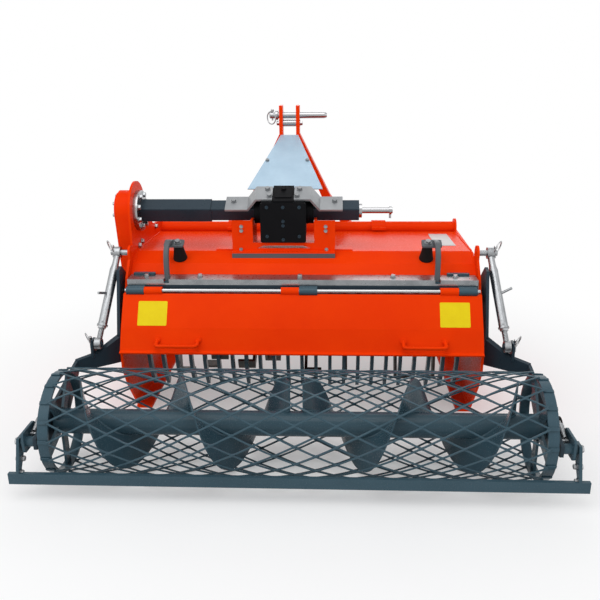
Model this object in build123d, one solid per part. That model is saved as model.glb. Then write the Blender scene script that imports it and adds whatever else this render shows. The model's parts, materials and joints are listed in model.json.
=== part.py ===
from build123d import *
import os
from math import acos, atan2, cos, degrees, hypot, radians, sin, sqrt, tan

# Stone burier for a tractor's three-point linkage, millimetres, +Z up.
# X points to the right seen from behind, Y forward. Places are written with Y = 0 at the
# packer roller's axis, and every piece is moved by FRAME_SHIFT when it is written.

# Clearances
SEAT_GAP = 0.3
RUN_GAP = 0.1
SIDE_GAP = 7.0
TAILGATE_END_GAP = 3.0
BEAM_END_GAP = 12.0
ROTOR_END_GAP = 60.0
ARM_GAP = 12.0
ARM_END_GAP = 7.0
STAND_GAP = 3.0
EYE_GAP = 3.0
LINK_DRIFT = 2.5

# Rotor box
BOX_HALF = 600.0
SIDE_WALL = 8.0
SIDE_FRONT = 932.0
SIDE_CHIN = 300.0
SIDE_BROW = 443.0
SIDE_STEP = 24.0
WEB_HIGH = (690.0, 648.0)
WEB_LOW = (800.0, 594.0)
FOOT_Z = 222.0
FOOT_CUT = (40.0, 80.0)
HOOD_WALL = 5.0
HOOD_FRONT_LIP = (925.0, 400.0)
HOOD_FRONT = (922.0, 512.0)
HOOD_TOP_FRONT = (890.0, 541.0)
HOOD_TOP_REAR = (535.0, 556.0)
HOOD_FOLD = (470.0, 528.0)
HOOD_END = (437.0, 495.0)
HOOD_FLANGE_END = (378.0, 495.0)
TUBE_Y = 935.0
TUBE_Z = 548.0
TUBE_R = 24.0
TUBE_LUG = 12.0
CLIP_X = 290.0
CLIP_WIDTH = 56.0
CLIP_REACH = 52.0
CLIP_FOOT = 9.0
EAR_Y = 465.0
EAR_Z = 568.0
EAR_R = 26.0
SKID_WIDTH = 52.0
SKID_PROUD = 4.0
SKID_WALL = 10.0
SKID_REAR = 400.0
SKID_FRONT = 880.0
SKID_TIP = 80.0
SKID_NOSE = 965.0

# Rotor
ROTOR_Y = 640.0
ROTOR_Z = 245.0
ROTOR_R = 208.0
ROTOR_TUBE_R = 45.0
ROTOR_HOLE_R = 41.0
STUB_R = 26.0
STUB_DEPTH = 22.0
STUB_END_GAP = 4.0
FLANGE_R = 105.0
FLANGE_WALL = 10.0
FLANGES = 7
FLANGE_INSET = 40.0
TINES = 4
TINE_WALL = 10.0
TINE_WIDTH = 46.0
TINE_TIP_WIDTH = 30.0
TINE_ROOT = 57.0
TINE_FOOT = 62.0
ROTOR_BEARING_R = 58.0
ROTOR_BEARING_LENGTH = 26.0
CAP_SHARE = 0.7

# Beam, comb bar, comb and buffers behind the hood
BEAM_REAR = 370.0
BEAM_TOP = 500.0
BEAM_DEPTH = 60.0
BEAM_HEIGHT = 19.0
BEAM_WALL = 5.0
COMB_BAR_DEPTH = 54.0
COMB_BAR_HEIGHT = 22.0
COMB_TINES = 23
COMB_END = 49.0
COMB_WALL = 12.0
COMB_WIDTH = 22.0
COMB_R = 236.0
COMB_LOW = 95.0
BUFFER_INSET = 145.0
BUFFER_ARM_WALL = 10.0
BUFFER_ARM_WIDTH = 30.0
BUFFER_ARM_SET = 6.0
BUFFER_BEND = 24.0
BUFFER_NOTCH_GAP = 4.0
BUFFER_SEAT = (68.0, 38.0, 6.0)
BUFFER_REACH = 62.0
BUFFER_LOW_R = 24.0
BUFFER_HIGH_R = 15.0
BUFFER_OFFSET = 34.0
BUFFER_Y = 496.0

# Tailgate and its hinge; each seam parts a fixed knuckle from one of the tailgate's
HINGE_Y = 353.0
HINGE_Z = 466.0
HINGE_R = 7.0
KNUCKLE_R = 13.0
KNUCKLE_LENGTH = 60.0
KNUCKLE_GAP = 1.0
KNUCKLE_RELIEF = 2.0
KNUCKLE_LEFT_INSET = 73.5
KNUCKLE_RIGHT_INSET = 78.5
KNUCKLE_MIDDLE = -5.5
LEAF_RISE = 2.0
TAILGATE_TOP = (346.0, 458.0)
TAILGATE_BEND = (283.0, 358.0)
TAILGATE_LOW = (249.0, 291.0)
TAILGATE_LIP = (237.0, 287.0)
TAILGATE_WALL = 5.0
HANDLE_INSET = 195.0
HANDLE_SPAN = 136.0
HANDLE_R = 6.0
HANDLE_OUT = 34.0

# Gearbox and drive
HITCH_X = -66.0
GEAR_Y = 590.0
GEAR_Z = 690.0
GEAR_TUBE = 54.0
GEAR_TUBE_TILT = 27.0
GEAR_TUBE_CORNER = 6.0
SLEEVE_WALL = 3.0
SLEEVE_REACH = 259.0
GEARBOX_HALF = 76.0
GEARBOX_REAR = 514.0
GEARBOX_FRONT = 665.0
GEARBOX_LOW = 596.0
GEARBOX_BACK_TOP = 732.0
GEARBOX_CREST_Y = 590.0
GEARBOX_NOSE_TOP = 735.0
GEARBOX_CORNER = 8.0
GEARBOX_FLANGE_R = 46.0
GEARBOX_FLANGE = 28.0
COVER_WALL = 8.0
COVER_PROUD = 3.0
COVER_CORNER = 6.0
LID_HALF = 36.0
LID_WALL = 7.0
STUB_END = 198.0
SHAFT_END_R = 11.0
SHAFT_END = 316.0
SHAFT_HEAD = (15.0, 8.0)
SHAFT_PIN = (4.0, 28.0)
COLLAR_R = 26.0
COLLAR_WIDTH = 10.0
PTO_R = 17.45
PTO_LENGTH = 100.0
PTO_JOURNAL_R = 22.0
PTO_BOSS_R = 42.0
PTO_BOSS = 20.0
PTO_BORE_FLOOR = 4.0
WING_WALL = 7.0
WING_START = 38.0
WING_BREAK = 92.0
WING_FALL = 124.0
WING_END = 206.0
WING_REAR = -40.0
WING_FRONT = 34.0
STAND_HALF = 180.0
STAND_WALL = 9.0
STAND_FOOT = 6.0
STAND_HIGH = 668.0
STAND_FRONT = 660.0
STAND_SLOPE = 15.0
STAND_TAB = 62.0
STAND_TAB_DEPTH = 55.0
STAND_OPENING = (96.0, 72.0)
STAND_SILL = 8.0
STAND_LINTEL = 10.0
RAIL_REAR = 497.0
RAIL_DEPTH = 27.0
CASE_TOP_R = 72.0
CASE_LOW_R = 62.0
CASE_DEPTH = 60.0
CASE_EDGE = 8.0
CASE_HEAD_R = 104.0
DRIVE_FLANGE_R = 72.0
DRIVE_FLANGE = 16.0

# Hitch
MAST_DEPTH = 50.0
LUG_GAP = 52.0
LUG_WALL = 14.0
LUG_TOP = 1026.0
TOP_PIN_DROP = 38.0
TOP_PIN_R = 12.7
TOP_PIN_REACH = 96.0
TOP_PIN_HEAD = (18.7, 6.0, 14.0, 20.0)
LUG_LENGTH = 108.0
LEG_KNEE = (162.0, 671.0)
LEG_LOW = 372.0
LEG_SPREAD = 341.0
LEG_WALL = 30.0
LEG_SHOE = 40.0
LOW_PIN_Z = 402.0
LOW_PIN_R = 14.2
LOW_PIN_LENGTH = 92.0
LOW_PIN_SHOULDER = (22.2, 8.0)
SHIELD_WALL = 3.0
SHIELD_TOP = (34.0, 6.0)
SHIELD_LOW = (135.0, 640.0, 755.0)

# Packer roller
ROLLER_R = 164.0
ROLLER_OVERHANG = 128.0
ROLLER_TUBE_R = 38.0
AXLE_R = 20.0
AXLE_REACH = 44.0
HOOP_WIDTH = 30.0
HOOP_WALL = 8.0
SPOKES = 5
SPOKE_WIDTH = 30.0
SPOKE_WALL = 8.0
STRANDS = 17
DIAMONDS = 12
STRAND_WIDTH = 7.5
STRAND_WALL = 5.0
STRAND_LAP = 8.0
LAYER_GAP = 0.2
FLIGHT_R = 139.0
FLIGHT_WALL = 5.0
FLIGHT_TURNS = 2.0
FLIGHT_STEPS = 24
FLIGHT_INNER_END = 18.0
FLIGHT_END_GAP = 88.0

# Roller arms, (y, z) outline points named along the plate, and their bearings
ARM_PIVOT_Y = 484.0
ARM_PIVOT_Z = 415.0
ARM_PIN_R = 16.0
ARM_PIN_HEAD = (26.0, 9.0, 12.0)
ARM_SPACER_R = 30.0
ARM_WALL = 10.0
ARM_HEAD_R = 42.0
ARM_NECK = ((518.0, 439.0), (494.0, 373.0))
ARM_HORN = ((404.0, 536.0), (374.0, 530.0))
ARM_BEND_Y = 312.0
ARM_OUT_Y = 226.0
ARM_FOLD = 8.0
ARM_BEND_Z = (322.0, 236.0)
ARM_ELBOW = (352.0, 240.0)
ARM_FLARE_LOW = 222.0
ARM_FLARE_HIGH = 262.0
ARM_LINK_SEAT = 274.0
ARM_TAIL_LOW = ((96.0, 122.0), (-10.0, 108.0), (-112.0, 140.0), (-146.0, 150.0))
ARM_TAIL_HIGH = ((-146.0, 184.0), (-60.0, 206.0), (60.0, 226.0))
ARM_AXLE_GAP = 6.0
BEARING_R = 46.0
BEARING_WALL = 12.0
BEARING_LENGTH = 32.0

# Scraper and its springs
SCRAPER_PIVOT_Y = -126.0
SCRAPER_PIVOT_Z = 166.0
SCRAPER_PIN_R = 8.0
SCRAPER_PIN_END = 6.0
SCRAPER_FACE = -160.0
SCRAPER_WALL = 12.0
SCRAPER_TOP = 86.0
SCRAPER_HEIGHT = 34.0
SCRAPER_END = 34.0
SCRAPER_LUG_OUT = 51.0
SCRAPER_LUG_WALL = 8.0
SCRAPER_LUG_R = 16.0
SCRAPER_LUG_SET = (10.0, 4.0, 6.0)
SPRING_R = 9.0
SPRING_X = 14.0
SPRING_TOP = (-52.0, 200.0)
SPRING_LOW = (-100.0, 182.0)
SPRING_PEG = (5.0, -54.0, 196.0)

# Turnbuckles
LINK_TOP_OUT = 40.0
LINK_SPLAY = 34.0
LINK_LOW_Y = 270.0
LINK_LOW_Z = 306.0
LINK_PIN_R = 10.0
LINK_PIN_END = 12.0
LINK_LUG_WALL = 8.0
LINK_LUG_HALF = (20.0, 17.0)
LINK_LUG_TOP = 16.0
EYE_R = 20.0
EYE_WIDTH = 22.0
BARREL_R = 15.0
BARREL_START = 62.0
BARREL_LENGTH = 200.0
BARREL_FLOOR = 20.0
NECK_R = 11.5
ROD_R = 9.5
ROD_OVERLAP = 90.0

# Places across the machine, all from the rotor box's half width
BOX_INNER = BOX_HALF - SIDE_WALL
TAILGATE_HALF = BOX_HALF - TAILGATE_END_GAP
BEAM_HALF = BOX_HALF - BEAM_END_GAP
ROTOR_HALF = BOX_HALF - ROTOR_END_GAP
BUFFER_X = BOX_HALF - BUFFER_INSET
HANDLE_X = BOX_HALF - HANDLE_INSET
SLEEVE_END = HITCH_X - SLEEVE_REACH
KNUCKLE_SEAMS = ((KNUCKLE_LEFT_INSET - BOX_HALF, -1), (KNUCKLE_MIDDLE, 1), (BOX_HALF - KNUCKLE_RIGHT_INSET, 1))
ROLLER_HALF = BOX_HALF + ROLLER_OVERHANG
MESH_HALF = ROLLER_HALF - HOOP_WIDTH
AXLE_END = ROLLER_HALF + AXLE_REACH
ARM_X = BOX_HALF + ARM_GAP
ARM_END_X = ROLLER_HALF + ARM_END_GAP
ARM_FACE = ARM_END_X + ARM_WALL
SCRAPER_LUG_X = ARM_END_X + SCRAPER_LUG_OUT
SCRAPER_HALF = SCRAPER_LUG_X + SCRAPER_END
LINK_TOP_X = BOX_HALF + LINK_TOP_OUT
LINK_LOW_X = LINK_TOP_X + LINK_SPLAY

# The whole machine reaches from the scraper's rear face to the front of the mast.
MAST_Y = TUBE_Y + TUBE_R
FRONT_END = MAST_Y + MAST_DEPTH
REAR_END = SCRAPER_FACE - SCRAPER_WALL
FRAME_SHIFT = -(FRONT_END + REAR_END) / 2
STANDING = (Align.CENTER, Align.CENTER, Align.MIN)


def plate(outline, x0, x1):
    """A flat plate across X: its (y, z) outline carried from x0 to x1."""
    wire = Polyline(*[(x0, y, z) for y, z in outline], close=True)
    return extrude(make_face(wire), amount=x1 - x0, dir=(1, 0, 0))


def panel(outline, y0, y1):
    """A flat plate across Y: its (x, z) outline carried from y0 to y1."""
    wire = Polyline(*[(x, y0, z) for x, z in outline], close=True)
    return extrude(make_face(wire), amount=y1 - y0, dir=(0, 1, 0))


def block(x0, x1, y0, y1, z0, z1):
    """A rectangular block between two corners."""
    middle = Pos((x0 + x1) / 2, (y0 + y1) / 2, (z0 + z1) / 2)
    return middle * Box(abs(x1 - x0), abs(y1 - y0), abs(z1 - z0))


def rod_x(radius, x0, x1, y, z):
    """A round bar along X."""
    return Pos((x0 + x1) / 2, y, z) * Rot(0, 90, 0) * Cylinder(radius, abs(x1 - x0))


def rod_between(radius, start, end):
    """A round bar from one point to another."""
    axis = Vector(*end) - Vector(*start)
    return Plane(origin=start, z_dir=axis) * Cylinder(radius, axis.length, align=STANDING)


def offset_line(points, distance):
    """The points of an open line moved sideways by a distance, mitred at its bends."""
    runs = [(b[0] - a[0], b[1] - a[1]) for a, b in zip(points, points[1:])]
    normals = [(-dz / hypot(dy, dz), dy / hypot(dy, dz)) for dy, dz in runs]
    moved = []
    for (y, z), before, after in zip(points, normals[:1] + normals, normals + normals[-1:]):
        ny = before[0] + after[0]
        nz = before[1] + after[1]
        scale = 2 * distance / (ny * ny + nz * nz)
        moved.append((y + ny * scale, z + nz * scale))
    return moved


def bent_sheet(points, wall, x0, x1):
    """A folded sheet: a line of (y, z) points given thickness on its left-hand side."""
    return plate(list(points) + offset_line(points, wall)[::-1], x0, x1)


def along(line_start, line_end, y):
    """The height of the straight line between two (y, z) points at a given y."""
    share = (y - line_start[0]) / (line_end[0] - line_start[0])
    return line_start[1] + share * (line_end[1] - line_start[1])


def both_sides(solid):
    """A solid and its mirror image across the machine's middle plane."""
    return [solid, mirror(solid, about=Plane.YZ)]


def write(name, *solids):
    """Moves a sub-part's solids into the machine's frame and writes them as one file."""
    placed = [Pos(0, FRAME_SHIFT, 0) * s for s in solids]
    shape = placed[0] if len(placed) == 1 else Compound(children=[s.solid() for s in placed])
    export_step(shape, f"parts/{name}.step")


# Rotor box

HOOD_LINE = (HOOD_FRONT_LIP, HOOD_FRONT, HOOD_TOP_FRONT, HOOD_TOP_REAR, HOOD_FOLD, HOOD_END, HOOD_FLANGE_END)
TAILGATE_LINE = (TAILGATE_TOP, TAILGATE_BEND, TAILGATE_LOW, TAILGATE_LIP)
SKID_LINE = ((SKID_REAR, 0.0), (SKID_FRONT, 0.0), (SKID_NOSE, SKID_TIP))


def buffer_notch():
    """The slot that lets the right buffer arm through the beam and the hood's flange."""
    half = BUFFER_ARM_WALL / 2 + BUFFER_NOTCH_GAP
    front = BEAM_REAR + BUFFER_ARM_SET + BUFFER_ARM_WIDTH + BUFFER_NOTCH_GAP
    low = BEAM_TOP - BEAM_HEIGHT - 1
    return block(BUFFER_X - half, BUFFER_X + half, BEAM_REAR - 1, front, low, BEAM_TOP + 1)


def hood_shell():
    """The folded cover over the rotor, from the front apron to the rear flange."""
    solid = bent_sheet(HOOD_LINE, HOOD_WALL, -BOX_INNER, BOX_INNER)
    for notch in both_sides(buffer_notch()):
        solid -= notch
    return solid


def side_plate(head=False):
    """The right side plate: ear, slanted rear edge, foot and rounded nose round the front tube.
    With a head it also rises to the gear tube's flange, with a web down to the front tube."""
    rear = offset_line(TAILGATE_LINE[:3], SIDE_GAP + TAILGATE_WALL)
    foot_y = rear[2][0]
    outline = [
        (SIDE_FRONT, SIDE_BROW), (TUBE_Y + TUBE_R, TUBE_Z), (HOOD_TOP_FRONT[0], TUBE_Z),
        (EAR_Y + EAR_R, TUBE_Z), (EAR_Y - EAR_R, TUBE_Z), (BEAM_REAR + SIDE_STEP, BEAM_TOP),
        (HINGE_Y + SIDE_STEP, HINGE_Z), rear[1], rear[2], (foot_y, FOOT_Z),
        (foot_y + FOOT_CUT[0], FOOT_Z - FOOT_CUT[1]), *offset_line(SKID_LINE, SKID_WALL),
        (SIDE_FRONT, SIDE_CHIN),
    ]
    solid = plate(outline, BOX_INNER, BOX_HALF)
    solid += rod_x(EAR_R, BOX_INNER, BOX_HALF, EAR_Y, EAR_Z)
    solid += block(BOX_INNER, BOX_HALF, EAR_Y - EAR_R, EAR_Y + EAR_R, TUBE_Z - EAR_R, EAR_Z)
    solid += rod_x(TUBE_R + TUBE_LUG, BOX_INNER, BOX_HALF, TUBE_Y, TUBE_Z)
    if head:
        solid += rod_x(CASE_HEAD_R, BOX_INNER, BOX_HALF, GEAR_Y, GEAR_Z)
        web = [(GEAR_Y - CASE_HEAD_R, GEAR_Z), WEB_HIGH, WEB_LOW, (TUBE_Y, TUBE_Z + TUBE_R + TUBE_LUG),
               (TUBE_Y, TUBE_Z - TUBE_R), (GEAR_Y - CASE_HEAD_R, TUBE_Z - TUBE_R)]
        solid += plate(web, BOX_INNER, BOX_HALF)
    return solid - rod_x(ROTOR_HOLE_R, BOX_INNER - 1, BOX_HALF + 1, ROTOR_Y, ROTOR_Z)


def skid():
    """A runner bar under the side plate with its nose turned up."""
    return bent_sheet(SKID_LINE, SKID_WALL, BOX_HALF - SKID_WIDTH, BOX_HALF + SKID_PROUD)


def front_tube():
    return rod_x(TUBE_R, -BOX_INNER, BOX_INNER, TUBE_Y, TUBE_Z)


def tube_clip(x):
    """A saddle over the front tube's rear quarter, with a flat foot reaching back over the hood."""
    x0 = x - CLIP_WIDTH / 2
    x1 = x + CLIP_WIDTH / 2
    outer = TUBE_R + HOOD_WALL
    solid = rod_x(outer, x0, x1, TUBE_Y, TUBE_Z)
    solid &= block(x0, x1, TUBE_Y - outer, TUBE_Y + TUBE_R / 2, TUBE_Z, TUBE_Z + outer)
    solid += block(x0, x1, TUBE_Y - CLIP_REACH, TUBE_Y, TUBE_Z, TUBE_Z + CLIP_FOOT)
    return solid - rod_x(TUBE_R, x0 - 1, x1 + 1, TUBE_Y, TUBE_Z)


# Beam, comb and buffers

COMB_BAR_TOP = BEAM_TOP - BEAM_WALL - HOOD_WALL
COMB_BAR_REAR = BEAM_REAR + BEAM_WALL + 1
COMB_BAR_LOW = COMB_BAR_TOP - COMB_BAR_HEIGHT
COMB_PITCH = 2 * (BEAM_HALF - COMB_END) / (COMB_TINES - 1)


def knuckle_span(seam, side):
    """The ends of the knuckle on one side of a seam."""
    near = seam + side * KNUCKLE_GAP / 2
    return sorted((near, near + side * KNUCKLE_LENGTH))


def rear_beam():
    """An angle section along the hood's rear flange, its short leg hanging at the back."""
    front = BEAM_REAR + BEAM_DEPTH
    inner = BEAM_TOP - BEAM_WALL
    low = BEAM_TOP - BEAM_HEIGHT
    outline = [(BEAM_REAR, low), (BEAM_REAR, BEAM_TOP), (front, BEAM_TOP), (front, inner),
               (BEAM_REAR + BEAM_WALL, inner), (BEAM_REAR + BEAM_WALL, low)]
    solid = plate(outline, -BEAM_HALF, BEAM_HALF)
    notch_low = low + BEAM_HEIGHT / 3
    for notch in both_sides(buffer_notch()):
        solid -= notch & block(-BEAM_HALF, BEAM_HALF, BEAM_REAR - 1, front, notch_low, BEAM_TOP + 1)
    return solid


def comb_bar():
    """The comb's carrier under the rear flange, with the leaves of the fixed hinge knuckles."""
    rear = COMB_BAR_REAR
    solid = block(-BEAM_HALF, BEAM_HALF, rear, rear + COMB_BAR_DEPTH, COMB_BAR_LOW, COMB_BAR_TOP)
    for seam, side in KNUCKLE_SEAMS:
        x0, x1 = knuckle_span(seam, side)
        solid += block(x0, x1, HINGE_Y, rear, HINGE_Z + LEAF_RISE, HINGE_Z + KNUCKLE_R)
        solid += rod_x(KNUCKLE_R, x0, x1, HINGE_Y, HINGE_Z)
        solid -= rod_x(HINGE_R + RUN_GAP, x0 - 1, x1 + 1, HINGE_Y, HINGE_Z)
    return solid


def comb_tine(x):
    """A flat bar hanging from the comb bar, then bent round the rotor's circle."""
    top = (COMB_BAR_REAR + COMB_BAR_DEPTH / 2, COMB_BAR_LOW)
    away = (top[0] - ROTOR_Y, top[1] - ROTOR_Z)
    tangent = atan2(away[1], away[0]) + acos(COMB_R / hypot(*away))
    low = radians(180) + acos(sqrt(1 - ((ROTOR_Z - COMB_LOW) / COMB_R) ** 2))
    middle = (tangent + low) / 2
    outer_r = COMB_R + COMB_WIDTH
    x0 = x - COMB_WALL / 2

    def on_circle(radius, angle):
        return (x0, ROTOR_Y + radius * cos(angle), ROTOR_Z + radius * sin(angle))

    top_inner = (x0, *top)
    top_outer = (x0, top[0] + COMB_WIDTH * cos(tangent), top[1])
    edges = [
        Line(top_inner, on_circle(COMB_R, tangent)),
        ThreePointArc(on_circle(COMB_R, tangent), on_circle(COMB_R, middle), on_circle(COMB_R, low)),
        Line(on_circle(COMB_R, low), on_circle(outer_r, low)),
        ThreePointArc(on_circle(outer_r, low), on_circle(outer_r, middle), on_circle(outer_r, tangent)),
        Line(on_circle(outer_r, tangent), top_outer),
        Line(top_outer, top_inner),
    ]
    return extrude(make_face(edges), amount=COMB_WALL, dir=(1, 0, 0))


BAND_RISE = (HOOD_FOLD[1] - HOOD_TOP_REAR[1], HOOD_TOP_REAR[0] - HOOD_FOLD[0])
BAND_LENGTH = hypot(*BAND_RISE)
BUFFER_AXIS = (0.0, BAND_RISE[0] / BAND_LENGTH, BAND_RISE[1] / BAND_LENGTH)
BUFFER_FOOT = (BUFFER_Y, along(HOOD_FOLD, HOOD_TOP_REAR, BUFFER_Y))
BUFFER_HEAD = (BUFFER_Y + BUFFER_AXIS[1] * BUFFER_REACH, BUFFER_FOOT[1] + BUFFER_AXIS[2] * BUFFER_REACH)


def buffer_arm():
    """A flat bar rising from the comb bar through the beam, with a seat plate over the rubber buffer."""
    seat_y, seat_z = BUFFER_HEAD
    foot = BEAM_REAR + BUFFER_ARM_SET
    front = foot + BUFFER_ARM_WIDTH
    low = BEAM_TOP + BUFFER_BEND
    head_front = seat_y + BUFFER_ARM_WIDTH / 2
    head_top = seat_z + BUFFER_BEND
    outline = [(foot, COMB_BAR_TOP), (front, COMB_BAR_TOP), (front, low), (head_front, seat_z),
               (head_front, head_top), (head_front - BUFFER_ARM_WIDTH, head_top), (foot, low + BUFFER_BEND)]
    solid = plate(outline, BUFFER_X - BUFFER_ARM_WALL / 2, BUFFER_X + BUFFER_ARM_WALL / 2)
    seat = Plane(origin=(BUFFER_X - BUFFER_OFFSET / 2, seat_y, seat_z), x_dir=(1, 0, 0), z_dir=BUFFER_AXIS)
    return solid + seat * Box(*BUFFER_SEAT, align=STANDING)


def rubber_buffer():
    """A rubber cone standing square on the hood's sloping band."""
    base = Plane(origin=(BUFFER_X - BUFFER_OFFSET, *BUFFER_FOOT), z_dir=BUFFER_AXIS)
    return base * Cone(BUFFER_LOW_R, BUFFER_HIGH_R, BUFFER_REACH, align=STANDING)


# Tailgate


def tailgate():
    """The bent rear flap: a lip along its lower edge, hinge knuckles, and cut-outs at the fixed ones."""
    solid = bent_sheet(TAILGATE_LINE, TAILGATE_WALL, -TAILGATE_HALF, TAILGATE_HALF)
    inner_top = offset_line(TAILGATE_LINE, TAILGATE_WALL)[0]
    leaf = [TAILGATE_TOP, (HINGE_Y - HINGE_R, HINGE_Z), (HINGE_Y + HINGE_R, HINGE_Z), inner_top]
    for seam, side in KNUCKLE_SEAMS:
        x0, x1 = knuckle_span(seam, side)
        cut_r = KNUCKLE_R + KNUCKLE_RELIEF
        solid -= rod_x(cut_r, x0 - KNUCKLE_GAP / 2, x1 + KNUCKLE_GAP / 2, HINGE_Y, HINGE_Z)
    for seam, side in KNUCKLE_SEAMS:
        x0, x1 = knuckle_span(seam, -side)
        solid += plate(leaf, x0, x1)
        solid += rod_x(KNUCKLE_R, x0, x1, HINGE_Y, HINGE_Z)
        solid -= rod_x(HINGE_R + RUN_GAP, x0 - 1, x1 + 1, HINGE_Y, HINGE_Z)
    return solid


def hinge_rod():
    return rod_x(HINGE_R, -BOX_INNER, BOX_INNER, HINGE_Y, HINGE_Z)


def tailgate_handle(x):
    """A round bar bow on two stems, standing out from the flap's lower fold."""
    y = (TAILGATE_BEND[0] + TAILGATE_LOW[0]) / 2
    z = along(TAILGATE_BEND, TAILGATE_LOW, y)
    out = (y - HANDLE_OUT, z - HANDLE_OUT / 3)
    x0 = x - HANDLE_SPAN / 2
    x1 = x + HANDLE_SPAN / 2
    solid = rod_x(HANDLE_R, x0, x1, *out)
    for side in (x0, x1):
        solid += rod_between(HANDLE_R, (side, y - 1, z), (side, *out))
        solid += Pos(side, *out) * Sphere(HANDLE_R)
    flap = bent_sheet(TAILGATE_LINE, TAILGATE_WALL * 4, x0 - HANDLE_OUT, x1 + HANDLE_OUT)
    return solid - flap


# Gearbox and drive

GEARBOX_REACH = GEARBOX_HALF + GEARBOX_FLANGE
GEARBOX_CREST = GEARBOX_BACK_TOP + (GEARBOX_CREST_Y - GEARBOX_REAR) * tan(radians(GEAR_TUBE_TILT))
ON_GEAR_TUBE = Pos(0, GEAR_Y, GEAR_Z) * Rot(GEAR_TUBE_TILT, 0, 0)


def gear_tube(size, x0, x1):
    """A length of the square gear tube with rounded corners, turned on its own axis."""
    bar = Pos((x0 + x1) / 2, 0, 0) * Box(abs(x1 - x0), size, size)
    return ON_GEAR_TUBE * fillet(bar.edges().filter_by(Axis.X), GEAR_TUBE_CORNER)


def gearbox():
    """The bevel gearbox: casting with a sloping top, round side flanges, rear cover, lid and input boss."""
    left = HITCH_X - GEARBOX_HALF
    right = HITCH_X + GEARBOX_HALF
    side = [(GEARBOX_REAR, GEARBOX_LOW), (GEARBOX_REAR, GEARBOX_BACK_TOP), (GEARBOX_CREST_Y, GEARBOX_CREST),
            (GEARBOX_FRONT, GEARBOX_NOSE_TOP), (GEARBOX_FRONT, GEARBOX_LOW)]
    casting = plate(side, left, right)
    solid = fillet(casting.edges().filter_by(Axis.Z), GEARBOX_CORNER)
    solid += rod_x(GEARBOX_FLANGE_R, HITCH_X - GEARBOX_REACH, HITCH_X + GEARBOX_REACH, GEAR_Y, GEAR_Z)
    cover = block(left - COVER_PROUD, right + COVER_PROUD, GEARBOX_REAR - COVER_WALL, GEARBOX_REAR,
                  GEARBOX_LOW - COVER_PROUD, GEARBOX_BACK_TOP)
    solid += fillet(cover.edges().filter_by(Axis.Y), COVER_CORNER)
    lid = [(GEARBOX_REAR, GEARBOX_BACK_TOP), (GEARBOX_CREST_Y, GEARBOX_CREST),
           (GEARBOX_CREST_Y, GEARBOX_CREST + LID_WALL), (GEARBOX_REAR, GEARBOX_BACK_TOP + LID_WALL)]
    solid += plate(lid, HITCH_X - LID_HALF, HITCH_X + LID_HALF)
    boss = Pos(HITCH_X, GEARBOX_FRONT, GEAR_Z) * Rot(-90, 0, 0)
    solid += boss * Cylinder(PTO_BOSS_R, PTO_BOSS, align=STANDING)
    bore = Cylinder(PTO_JOURNAL_R + RUN_GAP, PTO_BOSS, align=STANDING)
    return solid - boss * Pos(0, 0, PTO_BORE_FLOOR) * bore


def pto_shaft():
    """The input stub that a drive shaft slides on to, with its journal in the gearbox's boss."""
    boss = Pos(HITCH_X, GEARBOX_FRONT, GEAR_Z) * Rot(-90, 0, 0)
    floor = PTO_BORE_FLOOR + SEAT_GAP
    journal = boss * Pos(0, 0, floor) * Cylinder(PTO_JOURNAL_R, PTO_BOSS - floor, align=STANDING)
    return journal + boss * Pos(0, 0, PTO_BOSS) * Cylinder(PTO_R, PTO_LENGTH, align=STANDING)


def wing(side):
    """A bent bracket on the gearbox's sloping top whose wing rests on the gear tube's upper face."""
    tilt = radians(GEAR_TUBE_TILT)
    high = (GEAR_Y - GEARBOX_REAR) * sin(tilt) + (GEARBOX_BACK_TOP - GEAR_Z) * cos(tilt) + SEAT_GAP
    low = GEAR_TUBE / 2 + SEAT_GAP
    fall = (high - low) / (WING_FALL - WING_BREAK)
    shift = WING_WALL * (sqrt(1 + fall * fall) - 1) / fall
    outline = [(WING_START, high), (WING_BREAK, high), (WING_FALL, low), (WING_END, low),
               (WING_END, low + WING_WALL), (WING_FALL + shift, low + WING_WALL),
               (WING_BREAK + shift, high + WING_WALL), (WING_START, high + WING_WALL)]
    return ON_GEAR_TUBE * panel([(HITCH_X + side * x, z) for x, z in outline], WING_REAR, WING_FRONT)


RAIL_TOP = HOOD_TOP_REAR[1]
STAND_BASE = RAIL_TOP + STAND_FOOT


def stand_rail():
    """The rail bar laid along the hood's sloping band."""
    front = RAIL_REAR + RAIL_DEPTH
    outline = [(RAIL_REAR, along(HOOD_FOLD, HOOD_TOP_REAR, RAIL_REAR)),
               (front, along(HOOD_FOLD, HOOD_TOP_REAR, front)), (front, RAIL_TOP), (RAIL_REAR, RAIL_TOP)]
    return plate(outline, HITCH_X - STAND_HALF, HITCH_X + STAND_HALF)


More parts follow.
